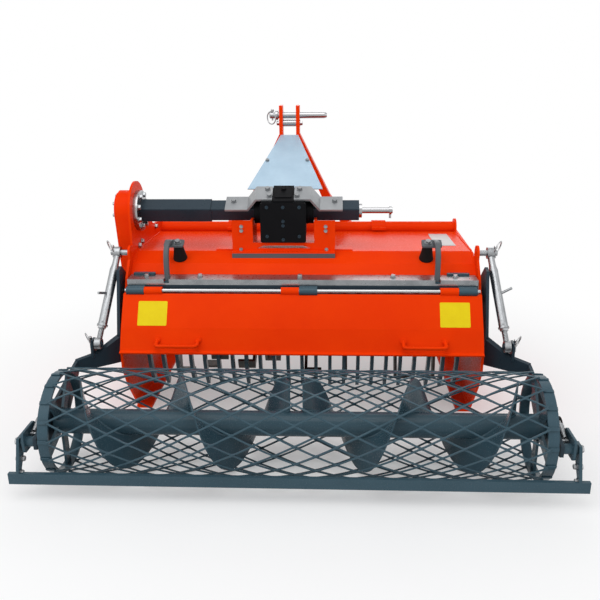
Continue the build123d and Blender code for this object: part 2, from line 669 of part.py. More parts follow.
def gearbox_stand():
    """The gearbox's welded cradle: foot plate with side tabs, rear frame with its opening, two side cheeks."""
    rear = RAIL_REAR + RAIL_DEPTH - STAND_WALL
    inner = GEARBOX_REACH + STAND_GAP
    tab_end = HOOD_TOP_REAR[0] + STAND_TAB_DEPTH
    hood_at = [(y, along(HOOD_TOP_REAR, HOOD_TOP_FRONT, y)) for y in (STAND_FRONT, tab_end)]
    base = [(RAIL_REAR, RAIL_TOP), HOOD_TOP_REAR, hood_at[0], (STAND_FRONT, STAND_BASE),
            (RAIL_REAR, STAND_BASE)]
    tab = [HOOD_TOP_REAR, hood_at[1], (tab_end, STAND_BASE), (HOOD_TOP_REAR[0], STAND_BASE)]
    solid = plate(base, HITCH_X - STAND_HALF, HITCH_X + STAND_HALF)
    solid += plate(tab, HITCH_X - STAND_HALF - STAND_TAB, HITCH_X + STAND_HALF + STAND_TAB)
    floor = GEARBOX_LOW - COVER_PROUD - STAND_GAP
    frame = [(-STAND_HALF, STAND_BASE), (STAND_HALF, STAND_BASE), (STAND_HALF, STAND_HIGH),
             (inner, STAND_HIGH), (inner, floor), (-inner, floor), (-inner, STAND_HIGH),
             (-STAND_HALF, STAND_HIGH)]
    solid += panel([(HITCH_X + x, z) for x, z in frame], rear, rear + STAND_WALL)
    wide, narrow = STAND_OPENING
    sill = STAND_BASE + STAND_SILL
    lintel = floor - STAND_LINTEL
    opening = [(-wide, sill), (wide, sill), (narrow, lintel), (-narrow, lintel)]
    solid -= panel([(HITCH_X + x, z) for x, z in opening], rear - 1, rear + STAND_WALL + 1)
    cheek = [(rear, STAND_BASE), (STAND_FRONT, STAND_BASE), (GEARBOX_FRONT - STAND_SLOPE, STAND_HIGH),
             (rear, STAND_HIGH)]
    for side in (-1, 1):
        x = HITCH_X + side * inner
        solid += plate(cheek, x, x + side * STAND_WALL)
    tube_way = gear_tube(GEAR_TUBE, HITCH_X - STAND_HALF - 1, HITCH_X + STAND_HALF + 1)
    return solid - tube_way


def link_plate(low, low_r, high, high_r, x0, x1):
    """A plate across X whose outline is two circles and their outer tangents."""
    dy = high[0] - low[0]
    dz = high[1] - low[1]
    turn = atan2(dz, dy)
    spread = acos((low_r - high_r) / hypot(dy, dz))
    ends = []
    for (y, z), r, order in ((low, low_r, (1, -1)), (high, high_r, (-1, 1))):
        ends += [(y + r * cos(turn + s * spread), z + r * sin(turn + s * spread)) for s in order]
    solid = plate(ends, x0, x1)
    return solid + rod_x(low_r, x0, x1, *low) + rod_x(high_r, x0, x1, *high)


def drive_case():
    """The side drive case from the gear tube down to the rotor, stepped in towards its outer face
    and bored for the rotor's stub."""
    low = (ROTOR_Y, ROTOR_Z)
    high = (GEAR_Y, GEAR_Z)
    step = -BOX_HALF - CASE_DEPTH + CASE_EDGE
    solid = link_plate(low, CASE_LOW_R, high, CASE_TOP_R, step, -BOX_HALF)
    solid += link_plate(low, CASE_LOW_R - CASE_EDGE, high, CASE_TOP_R - CASE_EDGE, step - CASE_EDGE, step)
    return solid - rod_x(STUB_R + RUN_GAP, -BOX_HALF - STUB_DEPTH, -BOX_HALF + 1, ROTOR_Y, ROTOR_Z)


def rotor_bearing():
    """The flanged bearing cap on the right side plate, bored for the rotor's stub."""
    end = BOX_HALF + ROTOR_BEARING_LENGTH
    solid = rod_x(ROTOR_BEARING_R, BOX_HALF, BOX_HALF + ROTOR_BEARING_LENGTH / 2, ROTOR_Y, ROTOR_Z)
    solid += rod_x(ROTOR_BEARING_R * CAP_SHARE, BOX_HALF, end, ROTOR_Y, ROTOR_Z)
    return solid - rod_x(STUB_R + RUN_GAP, BOX_HALF - 1, BOX_HALF + STUB_DEPTH, ROTOR_Y, ROTOR_Z)


def shaft_end():
    """The drive shaft's free end: collar against the tube, round shaft, head and cross pin."""
    head_r, head = SHAFT_HEAD
    pin_r, pin = SHAFT_PIN
    solid = rod_x(COLLAR_R, STUB_END, STUB_END + COLLAR_WIDTH, GEAR_Y, GEAR_Z)
    solid += rod_x(SHAFT_END_R, STUB_END, SHAFT_END, GEAR_Y, GEAR_Z)
    solid += rod_x(head_r, SHAFT_END - 1.5 * head, SHAFT_END - head / 2, GEAR_Y, GEAR_Z)
    return solid + Pos(SHAFT_END - head, GEAR_Y, GEAR_Z - pin / 2) * Cylinder(pin_r, pin)


# Hitch

LUG_INNER = LUG_GAP / 2
LUG_OUTER = LUG_INNER + LUG_WALL
PIN_Y = MAST_Y + MAST_DEPTH / 2
TOP_PIN_Z = LUG_TOP - TOP_PIN_DROP
LEG_TOP = LUG_TOP - LUG_LENGTH


def mast_side(side):
    """One leg of the mast: upright lug, leg bent at its knee, upright shoe for the lower pin."""
    foot = LEG_SPREAD - LEG_WALL
    ankle = LOW_PIN_Z + LEG_SHOE
    knee_x, knee_z = LEG_KNEE
    outline = [(LUG_INNER, LUG_TOP), (LUG_OUTER, LUG_TOP), (LUG_OUTER, LEG_TOP), LEG_KNEE,
               (LEG_SPREAD, ankle), (LEG_SPREAD, LEG_LOW), (foot, LEG_LOW), (foot, ankle - LUG_WALL),
               (knee_x - LEG_WALL, knee_z - LUG_WALL), (LUG_INNER, LEG_TOP - LUG_WALL)]
    solid = panel([(HITCH_X + side * x, z) for x, z in outline], MAST_Y, FRONT_END)
    hole = rod_x(TOP_PIN_R + RUN_GAP, HITCH_X - LUG_OUTER - 1, HITCH_X + LUG_OUTER + 1, PIN_Y, TOP_PIN_Z)
    shoe = rod_x(LOW_PIN_R, HITCH_X - LEG_SPREAD - 1, HITCH_X + LEG_SPREAD + 1, PIN_Y, LOW_PIN_Z)
    return solid - hole - shoe


def top_link_pin():
    """The top-link pin with its round head outside the left lug."""
    head_r, near, far, end = TOP_PIN_HEAD
    lug = HITCH_X - LUG_OUTER
    solid = rod_x(TOP_PIN_R, lug - end, HITCH_X + TOP_PIN_REACH, PIN_Y, TOP_PIN_Z)
    return solid + rod_x(head_r, lug - far, lug - near, PIN_Y, TOP_PIN_Z)


def low_link_pin(side):
    """A lower-link pin through the leg's shoe, with a shoulder against it."""
    shoulder_r, shoulder = LOW_PIN_SHOULDER
    x0 = HITCH_X + side * (LEG_SPREAD - LEG_WALL)
    x1 = HITCH_X + side * LEG_SPREAD
    solid = rod_x(LOW_PIN_R, x0, x1 + side * (shoulder + LOW_PIN_LENGTH), PIN_Y, LOW_PIN_Z)
    return solid + rod_x(shoulder_r, x1, x1 + side * shoulder, PIN_Y, LOW_PIN_Z)


def mast_shield():
    """The galvanised sheet over the drive shaft, falling from the mast's lugs to the gearbox's crest."""
    high_half, drop = SHIELD_TOP
    low_half, low_y, low = SHIELD_LOW
    high = LEG_TOP - drop
    top_y = MAST_Y - SEAT_GAP
    corners = [(HITCH_X - high_half, top_y, high), (HITCH_X + high_half, top_y, high),
               (HITCH_X + low_half, low_y, low), (HITCH_X - low_half, low_y, low)]
    square = Vector(0, low - high, top_y - low_y)
    return extrude(make_face(Polyline(*corners, close=True)), amount=SHIELD_WALL, dir=square)


# Tined rotor

FLANGE_PITCH = 2 * (ROTOR_HALF - FLANGE_INSET) / (FLANGES - 1)


def rotor_shaft():
    """The rotor tube with its stubs and tine flanges."""
    solid = rod_x(ROTOR_TUBE_R, -ROTOR_HALF, ROTOR_HALF, ROTOR_Y, ROTOR_Z)
    reach = BOX_HALF + STUB_DEPTH - STUB_END_GAP
    solid += rod_x(STUB_R, -reach, reach, ROTOR_Y, ROTOR_Z)
    for i in range(FLANGES):
        x = (i - (FLANGES - 1) / 2) * FLANGE_PITCH
        solid += rod_x(FLANGE_R, x - FLANGE_WALL / 2, x + FLANGE_WALL / 2, ROTOR_Y, ROTOR_Z)
    return solid


def rotor_tine(x, side, turn):
    """A tine bolted to a flange's face: a shank narrowing to its tip, and a foot turned sideways there."""
    face = side * FLANGE_WALL / 2
    root = TINE_WIDTH / 2
    tip = TINE_TIP_WIDTH / 2
    bend = ROTOR_R - TINE_WALL
    outline = [(-root, TINE_ROOT), (root, TINE_ROOT), (root, FLANGE_R), (tip, ROTOR_R), (-root, ROTOR_R)]
    shank = plate(outline, face, face + side * TINE_WALL)
    foot = block(face, face + side * TINE_FOOT, -root, tip, bend, ROTOR_R)
    return Pos(x, ROTOR_Y, ROTOR_Z) * Rot(turn, 0, 0) * (shank + foot)


def rotor_tines():
    """Every flange carries its tines in turn to the left and to the right."""
    tines = []
    for i in range(FLANGES):
        x = (i - (FLANGES - 1) / 2) * FLANGE_PITCH
        for k in range(TINES):
            side = 1 if (i + k) % 2 == 0 else -1
            tines.append(rotor_tine(x, side, 360 / TINES * k + 360 / TINES / FLANGES * i))
    return tines


# Packer roller

STRAND_STEP = 360 / STRANDS
MESH_INNER_R = ROLLER_R - STRAND_WALL - LAYER_GAP
HOOP_R = MESH_INNER_R - STRAND_WALL - SEAT_GAP


def on_roller(x, radius, turn):
    """The point at a radius and a turn (degrees from straight up) round the roller's axis."""
    return (x, radius * sin(radians(turn)), ROLLER_R + radius * cos(radians(turn)))


def ribbon(sections):
    """A solid ruled through a row of four-cornered sections."""
    wires = [Wire.make_polygon(corners, close=True) for corners in sections]
    return Solid.make_loft(wires, ruled=True)


def mesh_strand(start, hand, outer_r, lap):
    """A flat strand wound round the roller from hoop to hoop, one straight length for each diamond,
    with its ends lapped straight over the hoops."""
    places = [(-MESH_HALF - lap, start)]
    for i in range(DIAMONDS + 1):
        places.append(((2 * i / DIAMONDS - 1) * MESH_HALF, start + hand * STRAND_STEP * i))
    places.append((MESH_HALF + lap, places[-1][1]))
    side = degrees(STRAND_WIDTH / 2 / outer_r)
    inner_r = outer_r - STRAND_WALL
    corners = ((inner_r, -side), (inner_r, side), (outer_r, side), (outer_r, -side))
    return ribbon([[on_roller(x, r, turn + spread) for r, spread in corners] for x, turn in places])


def mesh_layer(hand, outer_r, lap):
    return [mesh_strand(STRAND_STEP * k, hand, outer_r, lap) for k in range(STRANDS)]


def auger_flight(side):
    """A helical flight on one half of the tube; the two halves have opposite hands."""
    sections = []
    steps = int(FLIGHT_TURNS * FLIGHT_STEPS)
    inner_r = (ROLLER_TUBE_R + SEAT_GAP) / cos(radians(180 / FLIGHT_STEPS))
    reach = ROLLER_HALF - FLIGHT_END_GAP - FLIGHT_INNER_END
    for i in range(steps + 1):
        near = side * (FLIGHT_INNER_END + reach * i / steps)
        far = near + side * FLIGHT_WALL
        turn = 360 / FLIGHT_STEPS * i
        sections.append([on_roller(near, inner_r, turn), on_roller(near, FLIGHT_R, turn),
                         on_roller(far, FLIGHT_R, turn), on_roller(far, inner_r, turn)])
    return ribbon(sections)


def roller_tube():
    """The central tube with its stub axles."""
    solid = rod_x(ROLLER_TUBE_R, -ROLLER_HALF, ROLLER_HALF, 0, ROLLER_R)
    return solid + rod_x(AXLE_R, -AXLE_END, AXLE_END, 0, ROLLER_R)


def roller_end():
    """The right end hoop and its flat spokes."""
    outer = rod_x(HOOP_R, MESH_HALF, ROLLER_HALF, 0, ROLLER_R)
    solid = outer - rod_x(HOOP_R - HOOP_WALL, MESH_HALF - 1, ROLLER_HALF + 1, 0, ROLLER_R)
    x0 = ROLLER_HALF - HOOP_WIDTH / 2 - SPOKE_WALL / 2
    side = SPOKE_WIDTH / 2
    bar = block(x0, x0 + SPOKE_WALL, -side, side, ROLLER_TUBE_R + SEAT_GAP, HOOP_R - HOOP_WALL / 2)
    for k in range(SPOKES):
        solid += Pos(0, 0, ROLLER_R) * Rot(360 / SPOKES * (k + 0.5), 0, 0) * bar
    return solid


# Roller arms, scraper and turnbuckles


def roller_arm():
    """The right arm: plate beside the rotor box, joggle outwards, plate beside the roller's end,
    with the lug and pin of the turnbuckle's lower eye on the joggle."""
    bend_high, bend_low = ARM_BEND_Z
    inside = [ARM_NECK[0], *ARM_HORN, (ARM_BEND_Y, bend_high), (ARM_BEND_Y, bend_low), ARM_ELBOW,
              ARM_NECK[1]]
    solid = plate(inside, ARM_X, ARM_X + ARM_WALL)
    solid += rod_x(ARM_HEAD_R, ARM_X, ARM_X + ARM_WALL, ARM_PIVOT_Y, ARM_PIVOT_Z)
    joggle = [(ARM_X, ARM_BEND_Y), (ARM_X + ARM_WALL, ARM_BEND_Y + ARM_FOLD),
              (ARM_FACE, ARM_OUT_Y + ARM_FOLD), (ARM_END_X, ARM_OUT_Y)]
    wire = Polyline(*[(x, y, ARM_FLARE_LOW) for x, y in joggle], close=True)
    flare = extrude(make_face(wire), amount=bend_high - ARM_FLARE_LOW, dir=(0, 0, 1))
    edge = [(ARM_BEND_Y + ARM_FOLD + 1, bend_high), (LINK_LOW_Y, ARM_LINK_SEAT),
            (ARM_OUT_Y - 1, ARM_FLARE_HIGH), (ARM_OUT_Y - 1, bend_high + 1),
            (ARM_BEND_Y + ARM_FOLD + 1, bend_high + 1)]
    flare -= plate(edge, ARM_X - 1, ARM_FACE + 1)
    tail = [(ARM_OUT_Y + ARM_FOLD, ARM_FLARE_HIGH), (ARM_OUT_Y + ARM_FOLD, ARM_FLARE_LOW),
            *ARM_TAIL_LOW, *ARM_TAIL_HIGH]
    end = plate(tail, ARM_END_X, ARM_FACE)
    end -= rod_x(AXLE_R + ARM_AXLE_GAP, ARM_END_X - 1, ARM_FACE + 1, 0, ROLLER_R)
    lug_x = LINK_LOW_X + EYE_WIDTH / 2 + EYE_GAP
    low_half, high_half = LINK_LUG_HALF
    lug_top = LINK_LOW_Z + LINK_LUG_TOP
    lug_end = lug_x + LINK_LUG_WALL
    lug_side = [(LINK_LOW_Y - low_half, ARM_FLARE_HIGH), (LINK_LOW_Y + low_half, ARM_FLARE_HIGH),
                (LINK_LOW_Y + high_half, lug_top), (LINK_LOW_Y - high_half, lug_top)]
    lug = plate(lug_side, lug_x, lug_end)
    pin = rod_x(LINK_PIN_R, LINK_LOW_X - EYE_WIDTH / 2 - EYE_GAP, lug_end, LINK_LOW_Y, LINK_LOW_Z)
    solid = solid + flare + end + lug + pin
    return solid - rod_x(ARM_PIN_R + RUN_GAP, ARM_X - 1, ARM_X + ARM_WALL + 1, ARM_PIVOT_Y, ARM_PIVOT_Z)


def arm_pivot():
    """The right arm's pivot pin with its head and the spacer against the side plate."""
    head_r, head, end = ARM_PIN_HEAD
    outside = ARM_X + ARM_WALL
    solid = rod_x(ARM_PIN_R, BOX_HALF, outside + end, ARM_PIVOT_Y, ARM_PIVOT_Z)
    solid += rod_x(ARM_SPACER_R, BOX_HALF, ARM_X - 1, ARM_PIVOT_Y, ARM_PIVOT_Z)
    return solid + rod_x(head_r, outside + 1, outside + 1 + head, ARM_PIVOT_Y, ARM_PIVOT_Z)


def roller_bearing():
    """The flanged bearing on the right arm's outer face."""
    solid = rod_x(BEARING_R, ARM_FACE, ARM_FACE + BEARING_WALL, 0, ROLLER_R)
    solid += rod_x(BEARING_R * CAP_SHARE, ARM_FACE, ARM_FACE + BEARING_LENGTH, 0, ROLLER_R)
    return solid - rod_x(AXLE_R + RUN_GAP, ARM_FACE - 1, ARM_FACE + BEARING_LENGTH + 1, 0, ROLLER_R)


def scraper_pin():
    """The right pivot pin of the scraper, on the arm's rear end."""
    end = SCRAPER_LUG_X + SCRAPER_LUG_WALL + SCRAPER_PIN_END
    return rod_x(SCRAPER_PIN_R, ARM_FACE, end, SCRAPER_PIVOT_Y, SCRAPER_PIVOT_Z)


def scraper_bar():
    """The levelling bar and its two pivot lugs."""
    low = SCRAPER_TOP - SCRAPER_HEIGHT
    rear = SCRAPER_FACE - SCRAPER_WALL
    rise, sink, toe = SCRAPER_LUG_SET
    front_y = SCRAPER_PIVOT_Y + SCRAPER_LUG_R
    lug_top = SCRAPER_PIVOT_Z + SCRAPER_LUG_R
    outline = [(front_y, lug_top), (SCRAPER_PIVOT_Y - SCRAPER_LUG_R, lug_top), (rear, SCRAPER_TOP + rise),
               (rear, low + sink), (SCRAPER_FACE, low + sink), (SCRAPER_FACE + toe, SCRAPER_TOP),
               (front_y, SCRAPER_PIVOT_Z - SCRAPER_LUG_R)]
    lug_end = SCRAPER_LUG_X + SCRAPER_LUG_WALL
    lug = plate(outline, SCRAPER_LUG_X, lug_end)
    lug -= rod_x(SCRAPER_PIN_R + RUN_GAP, SCRAPER_LUG_X - 1, lug_end + 1, SCRAPER_PIVOT_Y, SCRAPER_PIVOT_Z)
    solid = block(-SCRAPER_HALF, SCRAPER_HALF, rear, SCRAPER_FACE, low, SCRAPER_TOP)
    for piece in both_sides(lug):
        solid += piece
    return solid


def scraper_spring():
    """The right extension spring beside the arm's end, hung on a peg."""
    x = ARM_FACE + SPRING_X
    peg_r, peg_y, peg_z = SPRING_PEG
    return rod_between(SPRING_R, (x, *SPRING_TOP), (x, *SPRING_LOW)) + rod_x(peg_r, ARM_FACE, x, peg_y, peg_z)


LINK_TOP = (LINK_TOP_X, EAR_Y, EAR_Z)
LINK_LOW = (LINK_LOW_X, LINK_LOW_Y, LINK_LOW_Z)
LINK_RUN = Vector(*LINK_LOW) - Vector(*LINK_TOP)
BARREL_END = BARREL_START + BARREL_LENGTH


def on_link(distance):
    """The point at a distance from the upper eye along the right turnbuckle."""
    point = Vector(*LINK_TOP) + LINK_RUN.normalized() * distance
    return (point.X, point.Y, point.Z)


def eye(radius, x, y, z, width):
    """A round boss across X at an eye's middle."""
    return rod_x(radius, x - width / 2, x + width / 2, y, z)


def link_pin():
    """The right upper pin, standing out from the side plate's ear."""
    return rod_x(LINK_PIN_R, BOX_HALF, LINK_TOP_X + EYE_WIDTH / 2 + LINK_PIN_END, EAR_Y, EAR_Z)


def link_barrel():
    """The right turnbuckle's barrel with its upper eye and neck."""
    solid = eye(EYE_R, *LINK_TOP, EYE_WIDTH)
    solid += rod_between(NECK_R, LINK_TOP, on_link(BARREL_START + 1))
    solid += rod_between(BARREL_R, on_link(BARREL_START), on_link(BARREL_END))
    solid -= eye(LINK_PIN_R + RUN_GAP, *LINK_TOP, 2 * EYE_WIDTH)
    floor = on_link(BARREL_START + BARREL_FLOOR)
    return solid - rod_between(ROD_R + SEAT_GAP, floor, on_link(BARREL_END + 1))


def link_rod():
    """The right turnbuckle's threaded rod with its lower eye, roomy round the arm's pin."""
    solid = rod_between(ROD_R, on_link(BARREL_END - ROD_OVERLAP), LINK_LOW)
    solid += eye(EYE_R, *LINK_LOW, EYE_WIDTH)
    return solid - eye(LINK_PIN_R + LINK_DRIFT, *LINK_LOW, 2 * EYE_WIDTH)


def main():
    os.makedirs("parts", exist_ok=True)
    write("hood_shell", hood_shell())
    write("side_plate_right", side_plate())
    write("side_plate_left", mirror(side_plate(head=True), about=Plane.YZ))
    write("skids", *both_sides(skid()))
    write("front_tube", front_tube())
    write("tube_clips", tube_clip(-CLIP_X), tube_clip(CLIP_X))
    write("rear_beam", rear_beam())
    write("comb_bar", comb_bar())
    write("comb_tines", *[comb_tine((i - (COMB_TINES - 1) / 2) * COMB_PITCH) for i in range(COMB_TINES)])
    write("buffer_arms", *both_sides(buffer_arm()))
    write("rubber_buffers", *both_sides(rubber_buffer()))
    write("tailgate", tailgate())
    write("tailgate_handles", tailgate_handle(-HANDLE_X), tailgate_handle(HANDLE_X))
    write("hinge_rod", hinge_rod())
    write("gear_tube_sleeve", gear_tube(GEAR_TUBE + 2 * SLEEVE_WALL, DRIVE_FLANGE - BOX_INNER, SLEEVE_END))
    write("gear_tube_inner", gear_tube(GEAR_TUBE, SLEEVE_END, HITCH_X - GEARBOX_REACH))
    write("gear_tube_stub", gear_tube(GEAR_TUBE, HITCH_X + GEARBOX_REACH, STUB_END))
    write("shaft_end", shaft_end())
    write("gearbox", gearbox())
    write("pto_shaft", pto_shaft())
    write("gearbox_wings", wing(-1), wing(1))
    write("stand_rail", stand_rail())
    write("gearbox_stand", gearbox_stand())
    write("drive_case", drive_case())
    write("drive_flange", rod_x(DRIVE_FLANGE_R, -BOX_INNER, DRIVE_FLANGE - BOX_INNER, GEAR_Y, GEAR_Z))
    write("rotor_bearing", rotor_bearing())
    write("mast_leg_left", mast_side(-1))
    write("mast_leg_right", mast_side(1))
    write("mast_shield", mast_shield())
    write("top_link_pin", top_link_pin())
    write("low_link_pins", low_link_pin(-1), low_link_pin(1))
    write("rotor_shaft", rotor_shaft())
    write("rotor_tines", *rotor_tines())
    write("roller_tube", roller_tube())
    write("roller_end_right", roller_end())
    write("roller_end_left", mirror(roller_end(), about=Plane.YZ))
    write("auger_left", auger_flight(-1))
    write("auger_right", auger_flight(1))
    write("mesh_outer", *mesh_layer(1, ROLLER_R, HOOP_WIDTH))
    write("mesh_inner", *mesh_layer(-1, MESH_INNER_R, STRAND_LAP))
    write("roller_arm_right", roller_arm())
    write("roller_arm_left", mirror(roller_arm(), about=Plane.YZ))
    write("arm_pivots", *both_sides(arm_pivot()))
    write("roller_bearings", *both_sides(roller_bearing()))
    write("scraper_pins", *both_sides(scraper_pin()))
    write("scraper_bar", scraper_bar())
    write("scraper_springs", *both_sides(scraper_spring()))
    write("link_pins", *both_sides(link_pin()))
    write("link_barrel_right", link_barrel())
    write("link_barrel_left", mirror(link_barrel(), about=Plane.YZ))
    write("link_rod_right", link_rod())
    write("link_rod_left", mirror(link_rod(), about=Plane.YZ))


main()
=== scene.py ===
import json
import bmesh
import bpy
import numpy as np
from mathutils import Matrix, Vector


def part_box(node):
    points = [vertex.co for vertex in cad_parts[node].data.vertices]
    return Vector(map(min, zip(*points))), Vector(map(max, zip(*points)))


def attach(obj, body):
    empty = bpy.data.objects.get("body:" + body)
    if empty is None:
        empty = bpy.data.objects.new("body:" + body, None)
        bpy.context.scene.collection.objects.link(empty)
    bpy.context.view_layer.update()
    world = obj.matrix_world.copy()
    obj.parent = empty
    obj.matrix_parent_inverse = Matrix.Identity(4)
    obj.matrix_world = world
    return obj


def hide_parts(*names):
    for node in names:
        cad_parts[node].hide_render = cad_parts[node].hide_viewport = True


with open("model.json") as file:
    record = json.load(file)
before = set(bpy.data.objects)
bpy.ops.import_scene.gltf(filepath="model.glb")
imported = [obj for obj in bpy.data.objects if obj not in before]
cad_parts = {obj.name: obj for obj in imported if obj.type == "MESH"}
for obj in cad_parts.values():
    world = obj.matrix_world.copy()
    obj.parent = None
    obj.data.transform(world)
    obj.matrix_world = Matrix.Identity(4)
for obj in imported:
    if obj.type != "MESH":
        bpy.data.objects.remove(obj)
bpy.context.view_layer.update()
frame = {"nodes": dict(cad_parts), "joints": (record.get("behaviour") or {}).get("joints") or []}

# The machine's frame is in metres: X right seen from behind, Y forward, Z up.
# Named sizes and places are millimetres, Y from the packer roller's axis, unless a comment says metres.
JOINT = {joint["name"]: joint for joint in frame["joints"]}
ROLLER_AXIS = np.array(JOINT["roller_spin"]["pos_m"])
TAU = 2 * np.pi
SIDES = np.array([-1.0, 1.0])
SIDE_WORD = {-1: "left", 1: "right"}
RIGHT, LEFT = (1, 0, 0), (-1, 0, 0)
FORWARD, BACK = (0, 1, 0), (0, -1, 0)
UP = (0, 0, 1)
OUT = np.outer(SIDES, RIGHT)

# Meshing: sides of round pieces, points on corners, sharp edges in degrees, merging in metres
BEAD_SIDES = 8
WIRE_SIDES = 12
HANDLE_SIDES = 16
HEAD_SIDES = 24
BAR_SIDES = 28
COLLAR_SIDES = 32
PIN_SIDES = 40
RIM_SIDES = 48
SPLINE_SIDES = 96
CORNER_POINTS = 7
CREASE = 30.0
RUBBER_CREASE = 60.0
MERGE_DISTANCE = 1e-6
SLIVER_LENGTH = 1e-7

# Hexagon heads as shares of their width across flats, and how far they sink
HEAD_LIFT = 0.65
LOW_HEAD = 0.5
WASHER_WALL = 0.14
WASHER_REACH = 1.2
HEAD_BEVEL = 0.1
HEAD_CROWN = 0.86
HEAD_SINK = 2.0

# Bars, plates and smoothed lines
BAR_BEVEL = 1.0
SLAB_SINK = 0.4
SLAB_EDGE = 0.6
PLATE_EDGE = 0.3
EASE_SPAN = 11

# Flat bar's eight corners: their sides and the bevel's direction at each
FLAT_SIDES = np.array([-1, 1, 1, 1, 1, -1, -1, -1])
FLAT_BEVELS = np.array([1, -1, 0, 0, -1, 1, 0, 0])

# Weld beads: radius, share of swelling, step and ripple in metres, and the share left at the tip
BEAD_R = 3.5
BEAD_SWELL = 0.16
BEAD_STEP = 0.0012
BEAD_RIPPLE = 0.006
BEAD_TIP = 0.25


def point(x, y, z):
    """Places in millimetres, Y from the packer roller's axis, as metres in the machine's frame."""
    places = np.stack(np.broadcast_arrays(*(np.asarray(v, float) for v in (x, y, z))), -1) / 1000
    return places + np.array([0, ROLLER_AXIS[1], 0])


def corner(name, low=True):
    """A CAD node's lowest or highest corner as an array."""
    return np.array(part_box(name)[0 if low else 1])


def added(name, data):
    """A new object in the scene."""
    obj = bpy.data.objects.new(name, data)
    bpy.context.scene.collection.objects.link(obj)
    return obj


def quads(rows, columns, looped):
    """Corner numbers of a grid's quads: columns close round, and so do rows that are looped."""
    i = np.arange(rows if looped else rows - 1)
    row, column = np.meshgrid(i, np.arange(columns), indexing="ij")
    next_row, next_column = (row + 1) % rows, (column + 1) % columns
    loop = [(row, column), (next_row, column), (next_row, next_column), (row, next_column)]
    return np.stack([a * columns + b for a, b in loop], -1).reshape(-1, 4)


def piece(name, body, slot, material, *patches, crease=CREASE):
    """One object from patches: grids of points shaped (..., rows, columns, 3), each with whether its rows
    are looped. Points that fall together are merged, faces are turned outwards, and edges past crease
    degrees stay sharp."""
    points, faces, base = [], [], 0
    for grid, looped in patches:
        rows, columns = grid.shape[-3:-1]
        copies = np.asarray(grid, float).reshape(-1, rows * columns, 3)
        start = base + np.arange(len(copies)) * rows * columns
        corners = quads(rows, columns, looped)[None] + start[:, None, None]
        faces.append(corners.reshape(-1, 4))
        points.append(copies.reshape(-1, 3))
        base += len(copies) * rows * columns
    mesh = bpy.data.meshes.new(name)
    mesh.from_pydata(np.concatenate(points).tolist(), [], np.concatenate(faces).tolist())
    shell = bmesh.new()
    shell.from_mesh(mesh)
    bmesh.ops.remove_doubles(shell, verts=shell.verts, dist=MERGE_DISTANCE)
    bmesh.ops.dissolve_degenerate(shell, edges=shell.edges, dist=SLIVER_LENGTH)
    bmesh.ops.recalc_face_normals(shell, faces=shell.faces)
    shell.to_mesh(mesh)
    shell.free()
    mesh.shade_smooth()
    mesh.set_sharp_from_angle(angle=np.radians(crease))
    mesh.materials.append(material)
    obj = added(name, mesh)
    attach(obj, body)
    return obj


def bases(axis):
    """Each axis as a unit vector, and two unit vectors square to it."""
    axis = np.asarray(axis, float)
    axis = axis / np.linalg.norm(axis, axis=-1, keepdims=True)
    helper = np.where(np.abs(axis[..., 2:3]) > 0.9, np.array(RIGHT, float), np.array(UP, float))
    u = np.cross(helper, axis)
    u /= np.linalg.norm(u, axis=-1, keepdims=True)
    return axis, u, np.cross(axis, u)


def turned(places, axis, profile, sides, rim=None, looped=False):
    """Surfaces of revolution: profile rows (radius, height) in millimetres carried round each place's axis.
    rim scales the radius by angle, row by row, for hexagons, threads and splines."""
    places = np.atleast_2d(np.asarray(places, float))
    axis = np.broadcast_to(np.asarray(axis, float), places.shape)
    w, u, v = (b[:, None, None, :] for b in bases(axis))
    angle = np.arange(sides) * TAU / sides
    rows = np.asarray(profile, float) / 1000
    radius = rows[:, :1] * (np.ones((len(rows), sides)) if rim is None else rim(angle))
    cosine, sine = (wave(angle)[None, None, :, None] for wave in (np.cos, np.sin))
    flat = radius[None, :, :, None] * (cosine * u + sine * v)
    return places[:, None, None, :] + flat + rows[None, :, 1:, None] * w, looped


def closed(grid):
    """A row of sections with a pole added at each end."""
    count = grid.shape[-2]
    ends = [np.repeat(grid[..., [i], :, :].mean(-2, keepdims=True), count, -2) for i in (0, -1)]
    return np.concatenate([ends[0], grid, ends[1]], -3), False


def carried(path, up, across, above):
    """A closed profile carried along a path: across and above are its points' offsets in metres, one row
    for the whole path or one for each of its points. up is any direction never along the path."""
    path = np.asarray(path, float)
    along = np.gradient(path, axis=0)
    along /= np.linalg.norm(along, axis=1, keepdims=True)
    side = np.cross(along, np.asarray(up, float))
    side /= np.linalg.norm(side, axis=1, keepdims=True)
    top = np.cross(side, along)
    across, above = (np.broadcast_to(v, (len(path), np.shape(v)[-1])) for v in (across, above))
    return closed(path[:, None] + across[..., None] * side[:, None] + above[..., None] * top[:, None])


def tube(path, up, radius, sides):
    """A round wire or bar along a path: a circle whose radius is in millimetres."""
    angle = np.arange(sides) * TAU / sides
    radius = np.broadcast_to(np.asarray(radius, float), len(path))[:, None] / 1000
    return carried(path, up, radius * np.cos(angle), radius * np.sin(angle))


def bead(start, end):
    """A weld bead between two points: a thin bar whose radius swells once every few millimetres of run."""
    length = np.linalg.norm(end - start)
    t = np.linspace(0, 1, int(length / BEAD_STEP))
    swell = 1 + BEAD_SWELL * np.abs(np.sin(np.pi * t * length / BEAD_RIPPLE))
    taper = np.clip(np.minimum(t, 1 - t) * length / BEAD_RIPPLE, BEAD_TIP, 1)
    return tube(start + t[:, None] * (end - start), UP, BEAD_R * swell * taper, BEAD_SIDES)


def hexagon(angle):
    """The radius of a unit hexagon by angle, with its corners at whole sixths of a turn."""
    return np.cos(np.pi / 6) / np.cos(angle % (np.pi / 3) - np.pi / 6)


